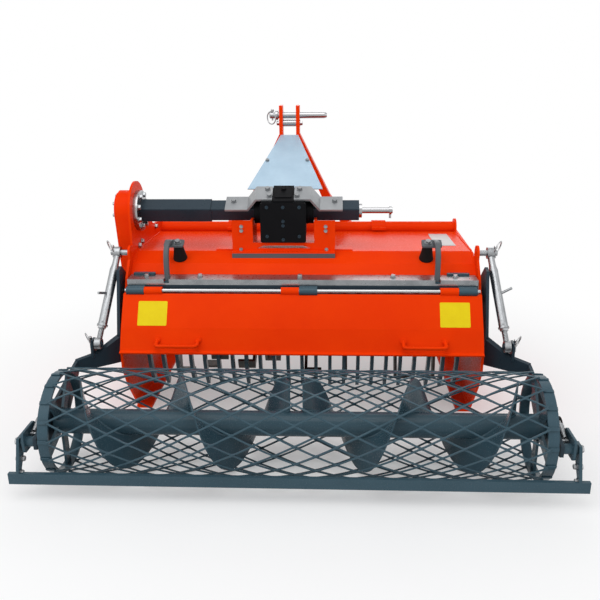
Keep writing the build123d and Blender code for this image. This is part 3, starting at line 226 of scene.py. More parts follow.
def heads(places, axis, across, lift=HEAD_LIFT):
    """Hexagon heads on washers: one profile turned round each axis, its middle rows following a hexagon."""
    r, top, washer = across / np.sqrt(3), across * lift, across * WASHER_WALL
    rows = [(0, -HEAD_SINK), (WASHER_REACH * r, -HEAD_SINK), (WASHER_REACH * r, washer), (r, washer),
            (r, top - HEAD_BEVEL * across), (HEAD_CROWN * r, top), (0, top)]
    hexed = np.array([0, 0, 0, 1, 1, 0, 0], bool)[:, None]
    return turned(places, axis, rows, HEAD_SIDES, lambda angle: np.where(hexed, hexagon(angle), 1.0))


def rings(places, axis, radius, wire):
    """Closed wire rings: a circle carried round each axis."""
    angle = np.arange(WIRE_SIDES) * TAU / WIRE_SIDES
    rows = np.stack([radius + wire * np.cos(angle), wire * np.sin(angle)], -1)
    return turned(places, axis, rows, PIN_SIDES, looped=True)


def bars(places, axis, radius, length):
    """Round bars with bevelled ends, each standing on its place along its axis."""
    flat_r, high = radius - BAR_BEVEL, length - BAR_BEVEL
    rows = [(0, 0), (flat_r, 0), (radius, BAR_BEVEL), (radius, high), (flat_r, length), (0, length)]
    return turned(places, axis, rows, BAR_SIDES)


def slab(middle, u, v, half_u, half_v, round_r, wall, edge=SLAB_EDGE):
    """A thin plate with rounded corners on a surface: an outline of four quarter circles, drawn in and
    lifted row by row from its underside to the middle of its top."""
    u, v = (np.asarray(d, float) / np.linalg.norm(d) for d in (u, v))
    quarter = np.linspace(0, np.pi / 2, CORNER_POINTS)
    angle = (np.arange(4)[:, None] * np.pi / 2 + quarter).ravel()
    signs = np.repeat([[1, 1], [-1, 1], [-1, -1], [1, -1]], CORNER_POINTS, 0)
    arcs = round_r * np.stack([np.cos(angle), np.sin(angle)], -1)
    outline = signs * (np.array([half_u, half_v]) - round_r) + arcs
    share = np.array([0, 1, 1, 1 - edge / half_v, 0])[:, None, None]
    lift = np.array([-SLAB_SINK, -SLAB_SINK, wall - edge, wall, wall])[:, None, None]
    flat = share * outline[None]
    grid = flat[..., :1] * u + flat[..., 1:] * v + lift * np.cross(u, v)
    return np.asarray(middle, float) + grid / 1000, False


def circle(x, y, z, radius, count, start=0.0):
    """Places round a circle square to X."""
    angle = np.arange(count) * TAU / count + np.radians(start)
    return point(x, y + radius * np.cos(angle), z + radius * np.sin(angle))


def eased(values):
    """A line of values smoothed by a running mean, its ends held."""
    return np.convolve(np.pad(values, EASE_SPAN // 2, "edge"), np.ones(EASE_SPAN) / EASE_SPAN, "valid")


# Finishes

RAMP_LOW, RAMP_HIGH = 0.3, 0.7
BROAD_NOISE = {"Detail": 6.0, "Roughness": 0.6}
FINE_NOISE = {"Detail": 3.0, "Roughness": 0.5}
BUMP_DISTANCE = 0.001


def node(tree, kind, **sockets):
    """A shader node with its sockets set."""
    made = tree.nodes.new(kind)
    for key, value in sockets.items():
        made.inputs[key].default_value = value
    return made


def ramp(tree, source, dark, light):
    """A colour ramp read from a factor."""
    made = tree.nodes.new("ShaderNodeValToRGB")
    made.color_ramp.elements[0].position = RAMP_LOW
    made.color_ramp.elements[0].color = (*dark, 1)
    made.color_ramp.elements[1].position = RAMP_HIGH
    made.color_ramp.elements[1].color = (*light, 1)
    tree.links.new(source, made.inputs["Fac"])
    return made.outputs["Color"]


def finish(name, base, shade, rough, metal=0.0, patch=4.0, grain=220.0, bump=0.02, stretch=(1, 1, 1),
           gloss=0.5):
    """A finish on Object coordinates: broad patches vary the colour between two shades, a fine grain
    varies the roughness between two values and lifts the surface a little."""
    material = bpy.data.materials.new(name)
    material.use_nodes = True
    tree = material.node_tree
    shader = tree.nodes["Principled BSDF"]
    shader.inputs["Metallic"].default_value = metal
    shader.inputs["Specular IOR Level"].default_value = gloss
    place = tree.nodes.new("ShaderNodeTexCoord")
    turn = tree.nodes.new("ShaderNodeMapping")
    turn.inputs["Scale"].default_value = stretch
    tree.links.new(place.outputs["Object"], turn.inputs["Vector"])
    broad = node(tree, "ShaderNodeTexNoise", Scale=patch, **BROAD_NOISE)
    fine = node(tree, "ShaderNodeTexNoise", Scale=grain, **FINE_NOISE)
    for noise in (broad, fine):
        tree.links.new(turn.outputs["Vector"], noise.inputs["Vector"])
    tree.links.new(ramp(tree, broad.outputs["Fac"], shade, base), shader.inputs["Base Color"])
    grey = [(value,) * 3 for value in rough]
    tree.links.new(ramp(tree, fine.outputs["Fac"], *grey), shader.inputs["Roughness"])
    lift = node(tree, "ShaderNodeBump", Strength=bump, Distance=BUMP_DISTANCE)
    tree.links.new(fine.outputs["Fac"], lift.inputs["Height"])
    tree.links.new(lift.outputs["Normal"], shader.inputs["Normal"])
    return material


RED = finish("red_gloss_paint", (0.9, 0.05, 0.002), (0.83, 0.038, 0.002), (0.2, 0.32), gloss=0.02)
SLATE = finish("slate_satin_paint", (0.048, 0.094, 0.122), (0.036, 0.074, 0.098), (0.18, 0.3), gloss=0.2)
GREY = finish("grey_satin_paint", (0.12, 0.13, 0.14), (0.09, 0.098, 0.106), (0.36, 0.48), gloss=0.15)
GRAPHITE = finish("graphite_paint", (0.026, 0.044, 0.06), (0.02, 0.034, 0.047), (0.26, 0.38), gloss=0.15)
ZINC = finish("zinc_plate", (0.38, 0.39, 0.4), (0.25, 0.26, 0.27), (0.24, 0.4), metal=0.95,
              patch=14.0, grain=90.0)
PLATE_STEEL = finish("oiled_plate_steel", (0.34, 0.35, 0.36), (0.24, 0.25, 0.26), (0.3, 0.46), metal=0.45,
                     patch=11.0, grain=70.0)
GALVANISED = finish("galvanised_sheet", (0.45, 0.6, 0.72), (0.37, 0.51, 0.63), (0.36, 0.52), metal=0.25,
                    patch=9.0, grain=40.0)
BRIGHT = finish("bright_steel", (0.46, 0.46, 0.46), (0.32, 0.32, 0.33), (0.16, 0.28), metal=1.0,
                grain=60.0, stretch=(0.15, 1, 1))
BLACK = finish("black_casting_paint", (0.008, 0.008, 0.009), (0.005, 0.005, 0.006), (0.32, 0.48),
               grain=320.0, bump=0.05, gloss=0.05)
WORN = finish("forged_tine_steel", (0.12, 0.115, 0.11), (0.06, 0.055, 0.05), (0.42, 0.6), metal=0.7,
              patch=18.0)
RUBBER = finish("black_rubber", (0.012, 0.012, 0.012), (0.009, 0.009, 0.009), (0.6, 0.75),
                grain=400.0, gloss=0.1)
YELLOW = finish("yellow_plate", (0.86, 0.66, 0.008), (0.82, 0.61, 0.007), (0.35, 0.42),
                patch=30.0, gloss=0.1)
SILVER = finish("silver_plate", (0.3, 0.3, 0.3), (0.24, 0.24, 0.24), (0.3, 0.4), metal=0.6, patch=30.0,
                stretch=(0.1, 1, 1))

NODE_FINISHES = {
    RED: ("hood_shell", "side_plate_left", "side_plate_right", "front_tube", "tube_clips", "tailgate",
          "tailgate_handles", "gearbox_stand", "drive_case", "mast_leg_left", "mast_leg_right", "skids"),
    SLATE: ("comb_bar", "comb_tines", "roller_tube", "roller_end_left", "roller_end_right", "auger_left",
            "auger_right", "mesh_outer", "mesh_inner", "scraper_bar"),
    GREY: ("buffer_arms", "stand_rail"),
    GRAPHITE: ("gear_tube_sleeve", "gear_tube_inner", "gear_tube_stub", "roller_arm_left",
               "roller_arm_right"),
    BLACK: ("gearbox", "roller_bearings", "rotor_bearing"),
    ZINC: ("rear_beam", "link_barrel_left", "link_barrel_right", "link_rod_left", "link_rod_right",
           "link_pins", "arm_pivots", "scraper_pins", "scraper_springs"),
    PLATE_STEEL: ("gearbox_wings",),
    GALVANISED: ("mast_shield",),
    BRIGHT: ("hinge_rod", "shaft_end", "drive_flange", "top_link_pin", "low_link_pins", "pto_shaft"),
    WORN: ("rotor_shaft", "rotor_tines"),
    RUBBER: ("rubber_buffers",),
}
for material, names in NODE_FINISHES.items():
    for name in names:
        slots = frame["nodes"][name].data.materials
        slots.clear()
        slots.append(material)

# Packer roller: mesh cage, hoop straps and flights, in metres apart from the flight weld's radius

STRANDS = 17
DIAMONDS = 12
STRAND_WIDTH = 0.0056
STRAND_WALL = 0.0042
STRAND_EDGE = 0.0012
STRAND_TUCK = 0.004
STRAND_POINTS = 217
BOND_GAIN = 0.45
BOND_LENGTH = 0.06
LAYER_STEP = 0.0018
STRAP_WIDTH = 0.0115
STRAP_TUCK = 0.006
STRAP_POINTS = 24
STRAP_WIDENING = 0.35
STRAP_SHARES = (0, 0.3, 0.85, 1)
STRAP_SINK = 0.001
STRAP_SETTLE = 0.0005
STRAP_END = 0.003
FLIGHT_TURNS = 2.0
FLIGHT_POINTS = 160
FLIGHT_WALL = 0.005
FLIGHT_EDGE = 0.001
FLIGHT_WELD_LIFT = 0.001
FLIGHT_WELD_R = 5.0


def radius_of(name):
    """A round CAD node's radius, half its height."""
    return (corner(name, False)[2] - corner(name)[2]) / 2


cage_r = radius_of("mesh_outer")
hoop_r = radius_of("roller_end_right")
hoop_edge = corner("roller_end_right")[0]
hoop_end = corner("roller_end_right", False)[0]
strand_step = TAU / STRANDS


def on_roller(x, radius, turn):
    """Points at a radius and a turn from straight up round the roller's axis."""
    x, radius, turn = np.broadcast_arrays(x, radius, turn)
    y, z = ROLLER_AXIS[1] + radius * np.sin(turn), ROLLER_AXIS[2] + radius * np.cos(turn)
    return np.stack([x, y, z], -1)


def flat_section(width):
    """A strand's eight-cornered profile: offsets along its width and depths below its face."""
    across = FLAT_SIDES / 2 * width[..., None] + FLAT_BEVELS * STRAND_EDGE
    inner = STRAND_WALL - STRAND_EDGE
    return across, np.array([0, 0, STRAND_EDGE, inner, STRAND_WALL, STRAND_WALL, inner, STRAND_EDGE])


def cage_strands(hand, outer_r):
    """Flat strands from hoop to hoop: the turn grows by one strand step for each diamond, and the width
    swells where strands of the two hands meet."""
    t = np.linspace(0, 1, STRAND_POINTS)
    x = (2 * t - 1) * (hoop_edge + STRAND_TUCK)
    meeting = 2 * DIAMONDS * t
    near = np.abs(meeting - np.round(meeting))
    width = STRAND_WIDTH * (1 + BOND_GAIN * np.exp(-(near / BOND_LENGTH) ** 2))
    slope = np.arctan(DIAMONDS * strand_step * outer_r / (2 * hoop_edge))
    across, depth = flat_section(width)
    start = np.arange(STRANDS)[:, None, None] * strand_step
    turn = start + hand * DIAMONDS * strand_step * t[None, :, None] + across[None] / np.cos(slope) / outer_r
    return closed(on_roller(x[None, :, None], outer_r - depth, turn))


def hoop_straps(side):
    """Short straps over the hoop's band: each goes on from where two strands meet, widens, lies down on the
    band and is dressed over its outer edge."""
    t = np.linspace(0, 1, STRAP_POINTS)
    x = side * (hoop_edge - STRAP_TUCK + t * (hoop_end - hoop_edge + STRAP_TUCK))
    width = STRAND_WIDTH + (STRAP_WIDTH - STRAND_WIDTH) * np.clip(t / STRAP_WIDENING, 0, 1)
    across, depth = flat_section(width)
    flat = hoop_r + STRAND_WALL
    lie = np.interp(t, STRAP_SHARES, [cage_r - STRAP_SINK, flat, flat - STRAP_SETTLE, hoop_r + STRAP_END])
    start = np.arange(STRANDS)[:, None, None] * strand_step
    return closed(on_roller(x[None, :, None], lie[:, None] - depth[None], start + across[None] / cage_r))


cage = piece("mesh_cage", "packer_roller", "slate_paint", SLATE, cage_strands(1, cage_r),
             cage_strands(-1, cage_r - LAYER_STEP), hoop_straps(-1), hoop_straps(1))
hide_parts("mesh_outer", "mesh_inner")


def flight(side):
    """A helicoid with thickness: a flat radial profile carried round the tube as it moves along it, with a
    weld along its foot."""
    name = f"auger_{SIDE_WORD[side]}"
    ends = np.sort(np.abs([corner(name)[0], corner(name, False)[0]]))
    inner_r, outer_r = radius_of("roller_tube"), radius_of(name)
    edge_r = outer_r - FLIGHT_EDGE
    t = np.linspace(0, 1, FLIGHT_POINTS)
    turn = FLIGHT_TURNS * TAU * t
    x = side * (ends[0] + (ends[1] - ends[0] - FLIGHT_WALL) * t)
    reach = np.array([inner_r, edge_r, outer_r, outer_r, edge_r, inner_r])
    push = np.array([0, 0, FLIGHT_EDGE, FLIGHT_WALL - FLIGHT_EDGE, FLIGHT_WALL, FLIGHT_WALL]) * side
    grid = on_roller(x[:, None] + push, reach[None], turn[:, None])
    weld = on_roller(x + side * FLIGHT_WALL / 2, inner_r + FLIGHT_WELD_LIFT, turn)
    made = piece(f"flight_{SIDE_WORD[side]}", "packer_roller", "slate_paint", SLATE, closed(grid),
                 tube(weld, RIGHT, FLIGHT_WELD_R, BEAD_SIDES))
    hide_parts(name)


flight(-1)
flight(1)

# Tined rotor

ROTOR_Y, ROTOR_Z = 640.0, 245.0
FLANGES, TINES = 7, 4
FLANGE_HALF = 5.0
FLANGE_REACH = 500.0
TINE_WALL = 10.0
TINE_BOLT_RADII = (70.0, 92.0)
TINE_BOLT = 17.0
TINE_NUT_LIFT = 0.8


def tine_bolts():
    """Two bolts through every tine's root and its flange, head on the tine and nut behind the flange; the
    tines go round each flange in quarter turns, to its two sides by turns, and a little further round on
    every next flange."""
    i, k, radius = np.meshgrid(np.arange(FLANGES), np.arange(TINES), TINE_BOLT_RADII, indexing="ij")
    i, k, radius = i.ravel(), k.ravel(), radius.ravel()
    side = np.where((i + k) % 2 == 0, 1.0, -1.0)
    turn = TAU / TINES * (k + i / FLANGES)
    x = (2 * i / (FLANGES - 1) - 1) * FLANGE_REACH
    y, z = ROTOR_Y - radius * np.sin(turn), ROTOR_Z + radius * np.cos(turn)
    axis = np.outer(side, RIGHT)
    piece("tine_bolts", "tine_rotor", "worn_steel", ZINC,
          heads(point(x + side * (FLANGE_HALF + TINE_WALL), y, z), axis, TINE_BOLT),
          heads(point(x - side * FLANGE_HALF, y, z), -axis, TINE_BOLT, TINE_NUT_LIFT))


tine_bolts()

# Roller arms, bearings and scraper

BEARING_DEPTH = 32.0
BEARING_FLANGE = 12.0
BEARING_RING, BEARING_BOLTS, BEARING_START, BEARING_BOLT = 39.0, 4, 45.0, 11.0
AXLE_REACH, AXLE_NUT, AXLE_NUT_LIFT = 27.0, 30.0, 0.4
FLARE_INSET, FLARE_Y, FLARE_Z, FLARE_BOLT = 10.0, 205.0, 205.0, 13.0
PIN_Y, PIN_Z = -126.0, 166.0
PIN_STICKOUT = 6.0
PIN_NUT = 19.0
LUG_WALL = 8.0
LUG_BOLT_Y, LUG_BOLT_Z, LUG_BOLT = -140.0, 118.0, 14.0
FOOT_BOLT_Y, FOOT_BOLT_Z, FOOT_BOLT = -158.0, 84.0, 12.0
HANGER_REACH, HANGER_SHIFT_Y, HANGER_SHIFT_Z = 25.0, 20.0, 4.0
HANGER_HALF_Y, HANGER_HALF_Z, HANGER_ROUND, HANGER_WALL = 44.0, 32.0, 12.0, 7.0
BUSH_R, BUSH_GAP = 15.0, 1.0

arm_face = corner("roller_bearings", False)[0] * 1000 - BEARING_DEPTH
bearing_x = arm_face + BEARING_FLANGE
bearing_z = ROLLER_AXIS[2] * 1000
bearing_bolts = []
for i, side in enumerate(SIDES):
    ring = circle(side * bearing_x, 0, bearing_z, BEARING_RING, BEARING_BOLTS, BEARING_START)
    bearing_bolts.append(heads(ring, OUT[i], BEARING_BOLT))
axle_nuts = heads(point(SIDES * (arm_face + AXLE_REACH), 0, bearing_z), OUT, AXLE_NUT, AXLE_NUT_LIFT)
flare_bolts = heads(point(SIDES * (arm_face - FLARE_INSET), FLARE_Y, FLARE_Z), -OUT, FLARE_BOLT)
piece("roller_frame_bolts", "roller_frame", "zinc", ZINC, *bearing_bolts, flare_bolts)
piece("axle_end_nuts", "packer_roller", "zinc", ZINC, axle_nuts)

lug_face = corner("scraper_pins", False)[0] * 1000 - PIN_STICKOUT
lug_back = lug_face - LUG_WALL
piece("scraper_bolts", "scraper", "zinc", ZINC,
      heads(point(SIDES * lug_face, LUG_BOLT_Y, LUG_BOLT_Z), OUT, LUG_BOLT),
      heads(point(SIDES * lug_back, LUG_BOLT_Y, LUG_BOLT_Z), -OUT, LUG_BOLT),
      heads(point(SIDES * lug_back, FOOT_BOLT_Y, FOOT_BOLT_Z), -OUT, FOOT_BOLT))
piece("scraper_pin_nuts", "roller_frame", "zinc", ZINC,
      heads(point(SIDES * lug_face, PIN_Y, PIN_Z), OUT, PIN_NUT, LOW_HEAD))

hangers = []
for side in SIDES:
    middle = point(side * (arm_face + HANGER_REACH), PIN_Y + HANGER_SHIFT_Y, PIN_Z + HANGER_SHIFT_Z)
    hangers.append(slab(middle, (0, side, 0), UP, HANGER_HALF_Y, HANGER_HALF_Z, HANGER_ROUND, HANGER_WALL))
bushes = bars(point(SIDES * arm_face, PIN_Y, PIN_Z), OUT, BUSH_R, lug_back - BUSH_GAP - arm_face)
piece("scraper_hangers", "roller_frame", "slate_paint", SLATE, *hangers, bushes)

# Scraper springs: ends as Y and Z, and pegs as rows of Y, Z, radius and length
COIL_REACH = 14.0
COIL_TOP, COIL_LOW = (-52.0, 200.0), (-100.0, 182.0)
COIL_TURNS, COIL_POINTS = 15, 20
COIL_R, COIL_WIRE = 7.2, 1.5
HOOK_R, HOOK_WIRE, HOOK_SHIFT = 6.5, 1.4, 6.0
PEGS = ((-54.0, 196.0, 5.0, 24.0), (-106.0, 180.0, 4.0, 22.0))


def scraper_coils():
    """Close-wound extension springs: a wire carried along a helix, with a hook ring and a peg at each end."""
    patches = []
    for side in SIDES:
        x = side * (arm_face + COIL_REACH)
        top, low = point(x, *COIL_TOP), point(x, *COIL_LOW)
        w, u, v = bases(low - top)
        t = np.linspace(0, 1, COIL_TURNS * COIL_POINTS)[:, None]
        angle = TAU * COIL_TURNS * t
        middle = top + w * np.linalg.norm(low - top) * t
        path = middle + COIL_R / 1000 * (np.cos(angle) * u + np.sin(angle) * v)
        hook = w * HOOK_SHIFT / 1000
        patches.append(tube(path, w, COIL_WIRE, BEAD_SIDES))
        patches.append(rings([top - hook, low + hook], RIGHT, HOOK_R, HOOK_WIRE))
        for y, z, radius, length in PEGS:
            patches.append(bars(point(side * arm_face, y, z), (side, 0, 0), radius, length))
    made = piece("scraper_coils", "roller_frame", "zinc", ZINC, *patches)
    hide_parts("scraper_springs")


scraper_coils()

# Turnbuckles, measured along the link from its ear, with profile rows of radius and distance

EAR = np.array([640.0, 465.0, 568.0])
LOW_EYE = np.array([674.0, 270.0, 306.0])
BARREL_START, BARREL_END = 62.0, 262.0
SHOULDER_ROWS = np.array([(0, -20), (11.6, -20), (12.4, -12), (15.2, 2), (15.2, 8), (0, 8)])
COLLAR_ROWS = np.array([(0, -12), (15.2, -12), (15.2, -3), (12.5, 3), (0, 3)])
BARREL_NUT, BARREL_NUT_LIFT, BARREL_NUT_GAP = 26.0, 0.45, 2.0
TOMMY_PLACE, TOMMY_R, TOMMY_LENGTH = 150.0, 4.5, 52.0
TOMMY_LEAN = {1: (0.8, -0.25, 0.55), -1: (-0.45, -0.85, 0.3)}
ROD_R = 9.5
ROD_OVERLAP = 90.0
ROD_ROWS = 260
ROD_GAP = 1.0
THREAD_PITCH, THREAD_DEPTH = 3.5, 0.9
EYE_R, EYE_BORE, EYE_HALF, EYE_BEVEL = 20.0, 12.5, 11.0, 1.5


def turnbuckle(side):
    """A barrel's swaged shoulders, end nut and tommy bar, and its rod with the lower eye: the rod's radius
    rises and falls with the distance along it and the angle round it, one rise for every pitch and turn."""
    word = SIDE_WORD[side]
    mirror = np.array([side, 1, 1])
    top, low = (point(*(p * mirror)) for p in (EAR, LOW_EYE))
    w = bases(low - top)[0]
    nut = heads(top + w * (BARREL_END + BARREL_NUT_GAP) / 1000, w, BARREL_NUT, BARREL_NUT_LIFT)
    bar = bars(top + w * TOMMY_PLACE / 1000, TOMMY_LEAN[side], TOMMY_R, TOMMY_LENGTH)
    piece(f"turnbuckle_fittings_{word}", f"turnbuckle_{word}", "zinc", ZINC,
          turned(top, w, SHOULDER_ROWS + (0, BARREL_START), COLLAR_SIDES),
          turned(top, w, COLLAR_ROWS + (0, BARREL_END), COLLAR_SIDES), nut, bar)
    length = np.linalg.norm(low - top) * 1000
    root_r = ROD_R - THREAD_DEPTH
    z = np.linspace(BARREL_END - ROD_OVERLAP, length - EYE_BORE - ROD_GAP, ROD_ROWS)
    rows = np.concatenate([[[0, z[0]]], np.stack([np.full_like(z, root_r), z], -1), [[0, z[-1]]]])

    def crest(angle):
        """The thread's rise and fall over its root."""
        phase = rows[:, 1:] / THREAD_PITCH - angle[None] / TAU
        return 1 + THREAD_DEPTH / root_r * (1 - np.abs(2 * (phase - np.floor(phase)) - 1))

    flat_r, edge = EYE_R - EYE_BEVEL, EYE_HALF - EYE_BEVEL
    eye = [(EYE_BORE, -EYE_HALF), (flat_r, -EYE_HALF), (EYE_R, -edge), (EYE_R, edge), (flat_r, EYE_HALF),
           (EYE_BORE, EYE_HALF)]
    rod = piece(f"threaded_rod_{word}", f"turnbuckle_rod_{word}", "zinc", ZINC,
                turned(top, w, rows, HEAD_SIDES, crest), turned(low, RIGHT, eye, RIM_SIDES, looped=True))
    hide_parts(f"link_rod_{word}")


turnbuckle(-1)
turnbuckle(1)

# Linchpins: knob rows of radius and height, and the right side's places of pin end and ring

LINCHPIN_R, LINCHPIN_LENGTH, LINCHPIN_DROP = 3.4, 34.0, 16.0
KNOB_ROWS = [(0, 17), (5, 17), (6, 19), (6, 25), (4, 28), (0, 28)]
RING_WIRE = 2.4
RING_LEAN = np.array([0.8, -0.5, -0.3])
EAR_PIN, EAR_RING, EAR_RING_R = (657.0, 465.0, 566.0), (664.0, 462.0, 588.0), 23.0
ARM_PIN, ARM_RING, ARM_RING_R = (700.0, 270.0, 304.0), (706.0, 267.0, 324.0), 20.0


def linchpin(end, ring_middle, ring_axis, ring_r):
    """A linchpin through a pin's end: an upright pin with a knob, and the spring ring that holds it."""
    foot = end - np.array([0, 0, LINCHPIN_DROP / 1000])
    return [bars(foot, UP, LINCHPIN_R, LINCHPIN_LENGTH), turned(end, UP, KNOB_ROWS, HEAD_SIDES),
            rings(ring_middle, ring_axis, ring_r, RING_WIRE)]


def linchpin_pair(pin, ring, ring_r):
    """A linchpin on either side, the left mirrored from the right."""
    patches = []
    for side in SIDES:
        mirror = np.array([side, 1, 1])
        patches += linchpin(point(*(mirror * pin)), point(*(mirror * ring)), mirror * RING_LEAN, ring_r)
    return patches


piece("ear_linchpins", "frame", "zinc", BRIGHT, *linchpin_pair(EAR_PIN, EAR_RING, EAR_RING_R))
piece("arm_linchpins", "roller_frame", "zinc", BRIGHT, *linchpin_pair(ARM_PIN, ARM_RING, ARM_RING_R))

# Drive: flange, gearbox, wings, stand and shaft

GEAR_Y, GEAR_Z = 590.0, 690.0
GEAR_TILT = np.radians(27.0)
HITCH_X = -66.0
WING_RUN = np.array([0, np.cos(GEAR_TILT), np.sin(GEAR_TILT)])
WING_UP = np.array([0, -np.sin(GEAR_TILT), np.cos(GEAR_TILT)])
DRIVE_RING, DRIVE_BOLTS, DRIVE_START, DRIVE_BOLT = 57.0, 8, 22.5, 16.0
COVER_X = HITCH_X + np.array([-56, 0, 56, 0, 0, -56, 0, 56.0])
COVER_Z = np.array([717, 717, 717, 668, 653, 615, 603, 615.0])
COVER_BOLT = 9.0
WING_BOLT = 15.0
WING_X = HITCH_X + np.array([-56, -48, 56, 48.0])
WING_ALONG = np.array([16, -22, 16, -22.0])
WING_TOP = 79.2
WING_END_X = HITCH_X + np.array([-178, 178.0])
WING_END_ALONG, WING_END_TOP = 6.0, 34.3
STAND_X = HITCH_X + np.array([-147, -147, -150, 147, 147, 150.0])
STAND_Z = np.array([648, 633, 566, 648, 633, 566.0])
STAND_FACE, STAND_BOLT = 515.0, 9.5
LEFT_PLATE_FACE, LEFT_PLATE_BOLT = -592.0, 15.0
LEFT_PLATE_Y, LEFT_PLATE_Z = (602.0, 565.0, 815.0), (574.0, 568.0, 580.0)


def on_gear_tube(x, along, above):
    """Places in the gear tube's turned frame: along its upper face and above its axis."""
    c, s = np.cos(GEAR_TILT), np.sin(GEAR_TILT)
    along, above = np.asarray(along, float), np.asarray(above, float)
    return point(x, GEAR_Y + along * c - above * s, GEAR_Z + along * s + above * c)


flange_face = corner("drive_flange", False)[0] * 1000
cover_face = (corner("gearbox")[1] - ROLLER_AXIS[1]) * 1000
piece("drive_bolts", "frame", "zinc", ZINC,
      heads(circle(flange_face, GEAR_Y, GEAR_Z, DRIVE_RING, DRIVE_BOLTS, DRIVE_START), RIGHT, DRIVE_BOLT),
      heads(on_gear_tube(WING_X, WING_ALONG, WING_TOP), WING_UP, WING_BOLT),
      heads(on_gear_tube(WING_END_X, WING_END_ALONG, WING_END_TOP), WING_UP, WING_BOLT),
      heads(point(STAND_X, STAND_FACE, STAND_Z), BACK, STAND_BOLT),
      heads(point(LEFT_PLATE_FACE, LEFT_PLATE_Y, LEFT_PLATE_Z), RIGHT, LEFT_PLATE_BOLT))
piece("gearbox_bolts", "frame", "black_casting", GRAPHITE,
      heads(point(COVER_X, cover_face, COVER_Z), BACK, COVER_BOLT, LOW_HEAD))

# Gearbox trim, with profile rows of radius and height
LID_TOP, LID_HALF, LID_ROUND, LID_WALL = 78.3, 30.0, 5.0, 3.0
PLUG_ALONG, PLUG_TOP, PLUG = 14.0, 81.0, 14.0
RIM_REACH = 78.0
RIM_ROWS = [(0, 0), (47.5, 0), (47.5, 7), (45.5, 9), (0, 9)]
RIM_RING, RIM_BOLTS, RIM_START, RIM_BOLT, RIM_BOLT_REACH = 40.0, 6, 30.0, 9.0, 86.5
SEAL_Y = 684.8
SEAL_ROWS = [(24, 0), (33, 0), (33, 2.5), (31, 3.5), (26, 3.5), (24, 2.5)]
FRONT_RING, FRONT_BOLTS, FRONT_BOLT, FRONT_BOLT_Y = 37.0, 6, 7.0, 684.9


def gearbox_trim():
    """The lid's raised rim and breather plug, the round flanges' rims, and the boss ring round the input."""
    lid = slab(on_gear_tube(HITCH_X, 0, LID_TOP), RIGHT, WING_RUN, LID_HALF, LID_HALF, LID_ROUND, LID_WALL)
    plug = heads(on_gear_tube(HITCH_X, PLUG_ALONG, PLUG_TOP), WING_UP, PLUG, LOW_HEAD)
    flanges = turned(point(HITCH_X + SIDES * RIM_REACH, GEAR_Y, GEAR_Z), OUT, RIM_ROWS, RIM_SIDES)
    boss = turned(point(HITCH_X, SEAL_Y, GEAR_Z), FORWARD, SEAL_ROWS, RIM_SIDES, looped=True)
    turn = np.arange(FRONT_BOLTS) * TAU / FRONT_BOLTS
    front_x, front_z = HITCH_X + FRONT_RING * np.cos(turn), GEAR_Z + FRONT_RING * np.sin(turn)
    front = heads(point(front_x, FRONT_BOLT_Y, front_z), FORWARD, FRONT_BOLT, LOW_HEAD)
    ends = []
    for i, side in enumerate(SIDES):
        ring = circle(HITCH_X + side * RIM_BOLT_REACH, GEAR_Y, GEAR_Z, RIM_RING, RIM_BOLTS, RIM_START)
        ends.append(heads(ring, OUT[i], RIM_BOLT, LOW_HEAD))
    piece("gearbox_trim", "frame", "black_casting", BLACK, lid, plug, flanges, boss, front, *ends)


gearbox_trim()

# Input stub: rows of radius, distance from its back, and whether splined
STUB_Y = 665.0
STUB_ROWS = np.array([(0, 4.3, 0), (21.9, 4.3, 0), (21.9, 20, 0), (17.4, 20, 0), (17.4, 22, 0),
                      (17.4, 30, 1), (17.4, 78, 1), (14.2, 80, 0), (14.2, 90, 0), (17.4, 92, 1),
                      (17.4, 116, 1), (15.4, 120, 1), (0, 120, 0)])
SPLINES, SPLINE_SLOPE, SPLINE_DEPTH = 6, 3.2, 0.16


def splined_stub():
    """The input stub: a turned shaft whose middle rows carry six splines, with a lock groove near its end."""
    def teeth(angle):
        """The splines' rise and fall by angle on the splined rows."""
        rise = np.clip(0.5 + SPLINE_SLOPE * np.cos(SPLINES * angle), 0, 1)
        return np.where(STUB_ROWS[:, 2:] > 0, 1 - SPLINE_DEPTH + SPLINE_DEPTH * rise, 1.0)

    made = piece("splined_stub", "pto_input", "bright_steel", BRIGHT,
                 turned(point(HITCH_X, STUB_Y, GEAR_Z), FORWARD, STUB_ROWS[:, :2], SPLINE_SIDES, teeth))
    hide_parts("pto_shaft")


splined_stub()

# Side bolts: drive case cover, rotor bearing, arm pivots and skids
CASE_TOP_R, CASE_FOOT_R, CASE_BOLT = 53.0, 43.0, 11.0
CASE_ARC = np.radians([0, 45, 90, 135, 180.0])
CASE_SHARES = np.array([1 / 3, 2 / 3])
ROTOR_CAP_DEPTH, ROTOR_CAP_RING, ROTOR_CAP_BOLTS, ROTOR_CAP_BOLT = 13.0, 49.5, 6, 12.0
PIVOT_FACE, PIVOT_Y, PIVOT_Z, PIVOT_NUT = 633.0, 484.0, 415.0, 30.0
SKID_FACE, SKID_Y, SKID_Z, SKID_BOLT = 600.0, (440.0, 580.0, 720.0, 850.0), 34.0, 14.0


def case_cover_bolts():
    """Bolts round the drive case's outer cover, evenly along two half circles and the straights between."""
    low, high = np.array([ROTOR_Y, ROTOR_Z]), np.array([GEAR_Y, GEAR_Z])
    along = (high - low) / np.linalg.norm(high - low)
    aside = np.array([along[1], -along[0]])
    cosine, sine = np.cos(CASE_ARC)[:, None], np.sin(CASE_ARC)[:, None]
    top = high + CASE_TOP_R * (cosine * aside + sine * along)
    foot = low + CASE_FOOT_R * (cosine * aside - sine * along)
    straights = [foot[i] + CASE_SHARES[:, None] * (top[i] - foot[i]) for i in (0, -1)]
    y, z = np.concatenate([top, foot, *straights]).T
    return heads(point(corner("drive_case")[0] * 1000, y, z), LEFT, CASE_BOLT)


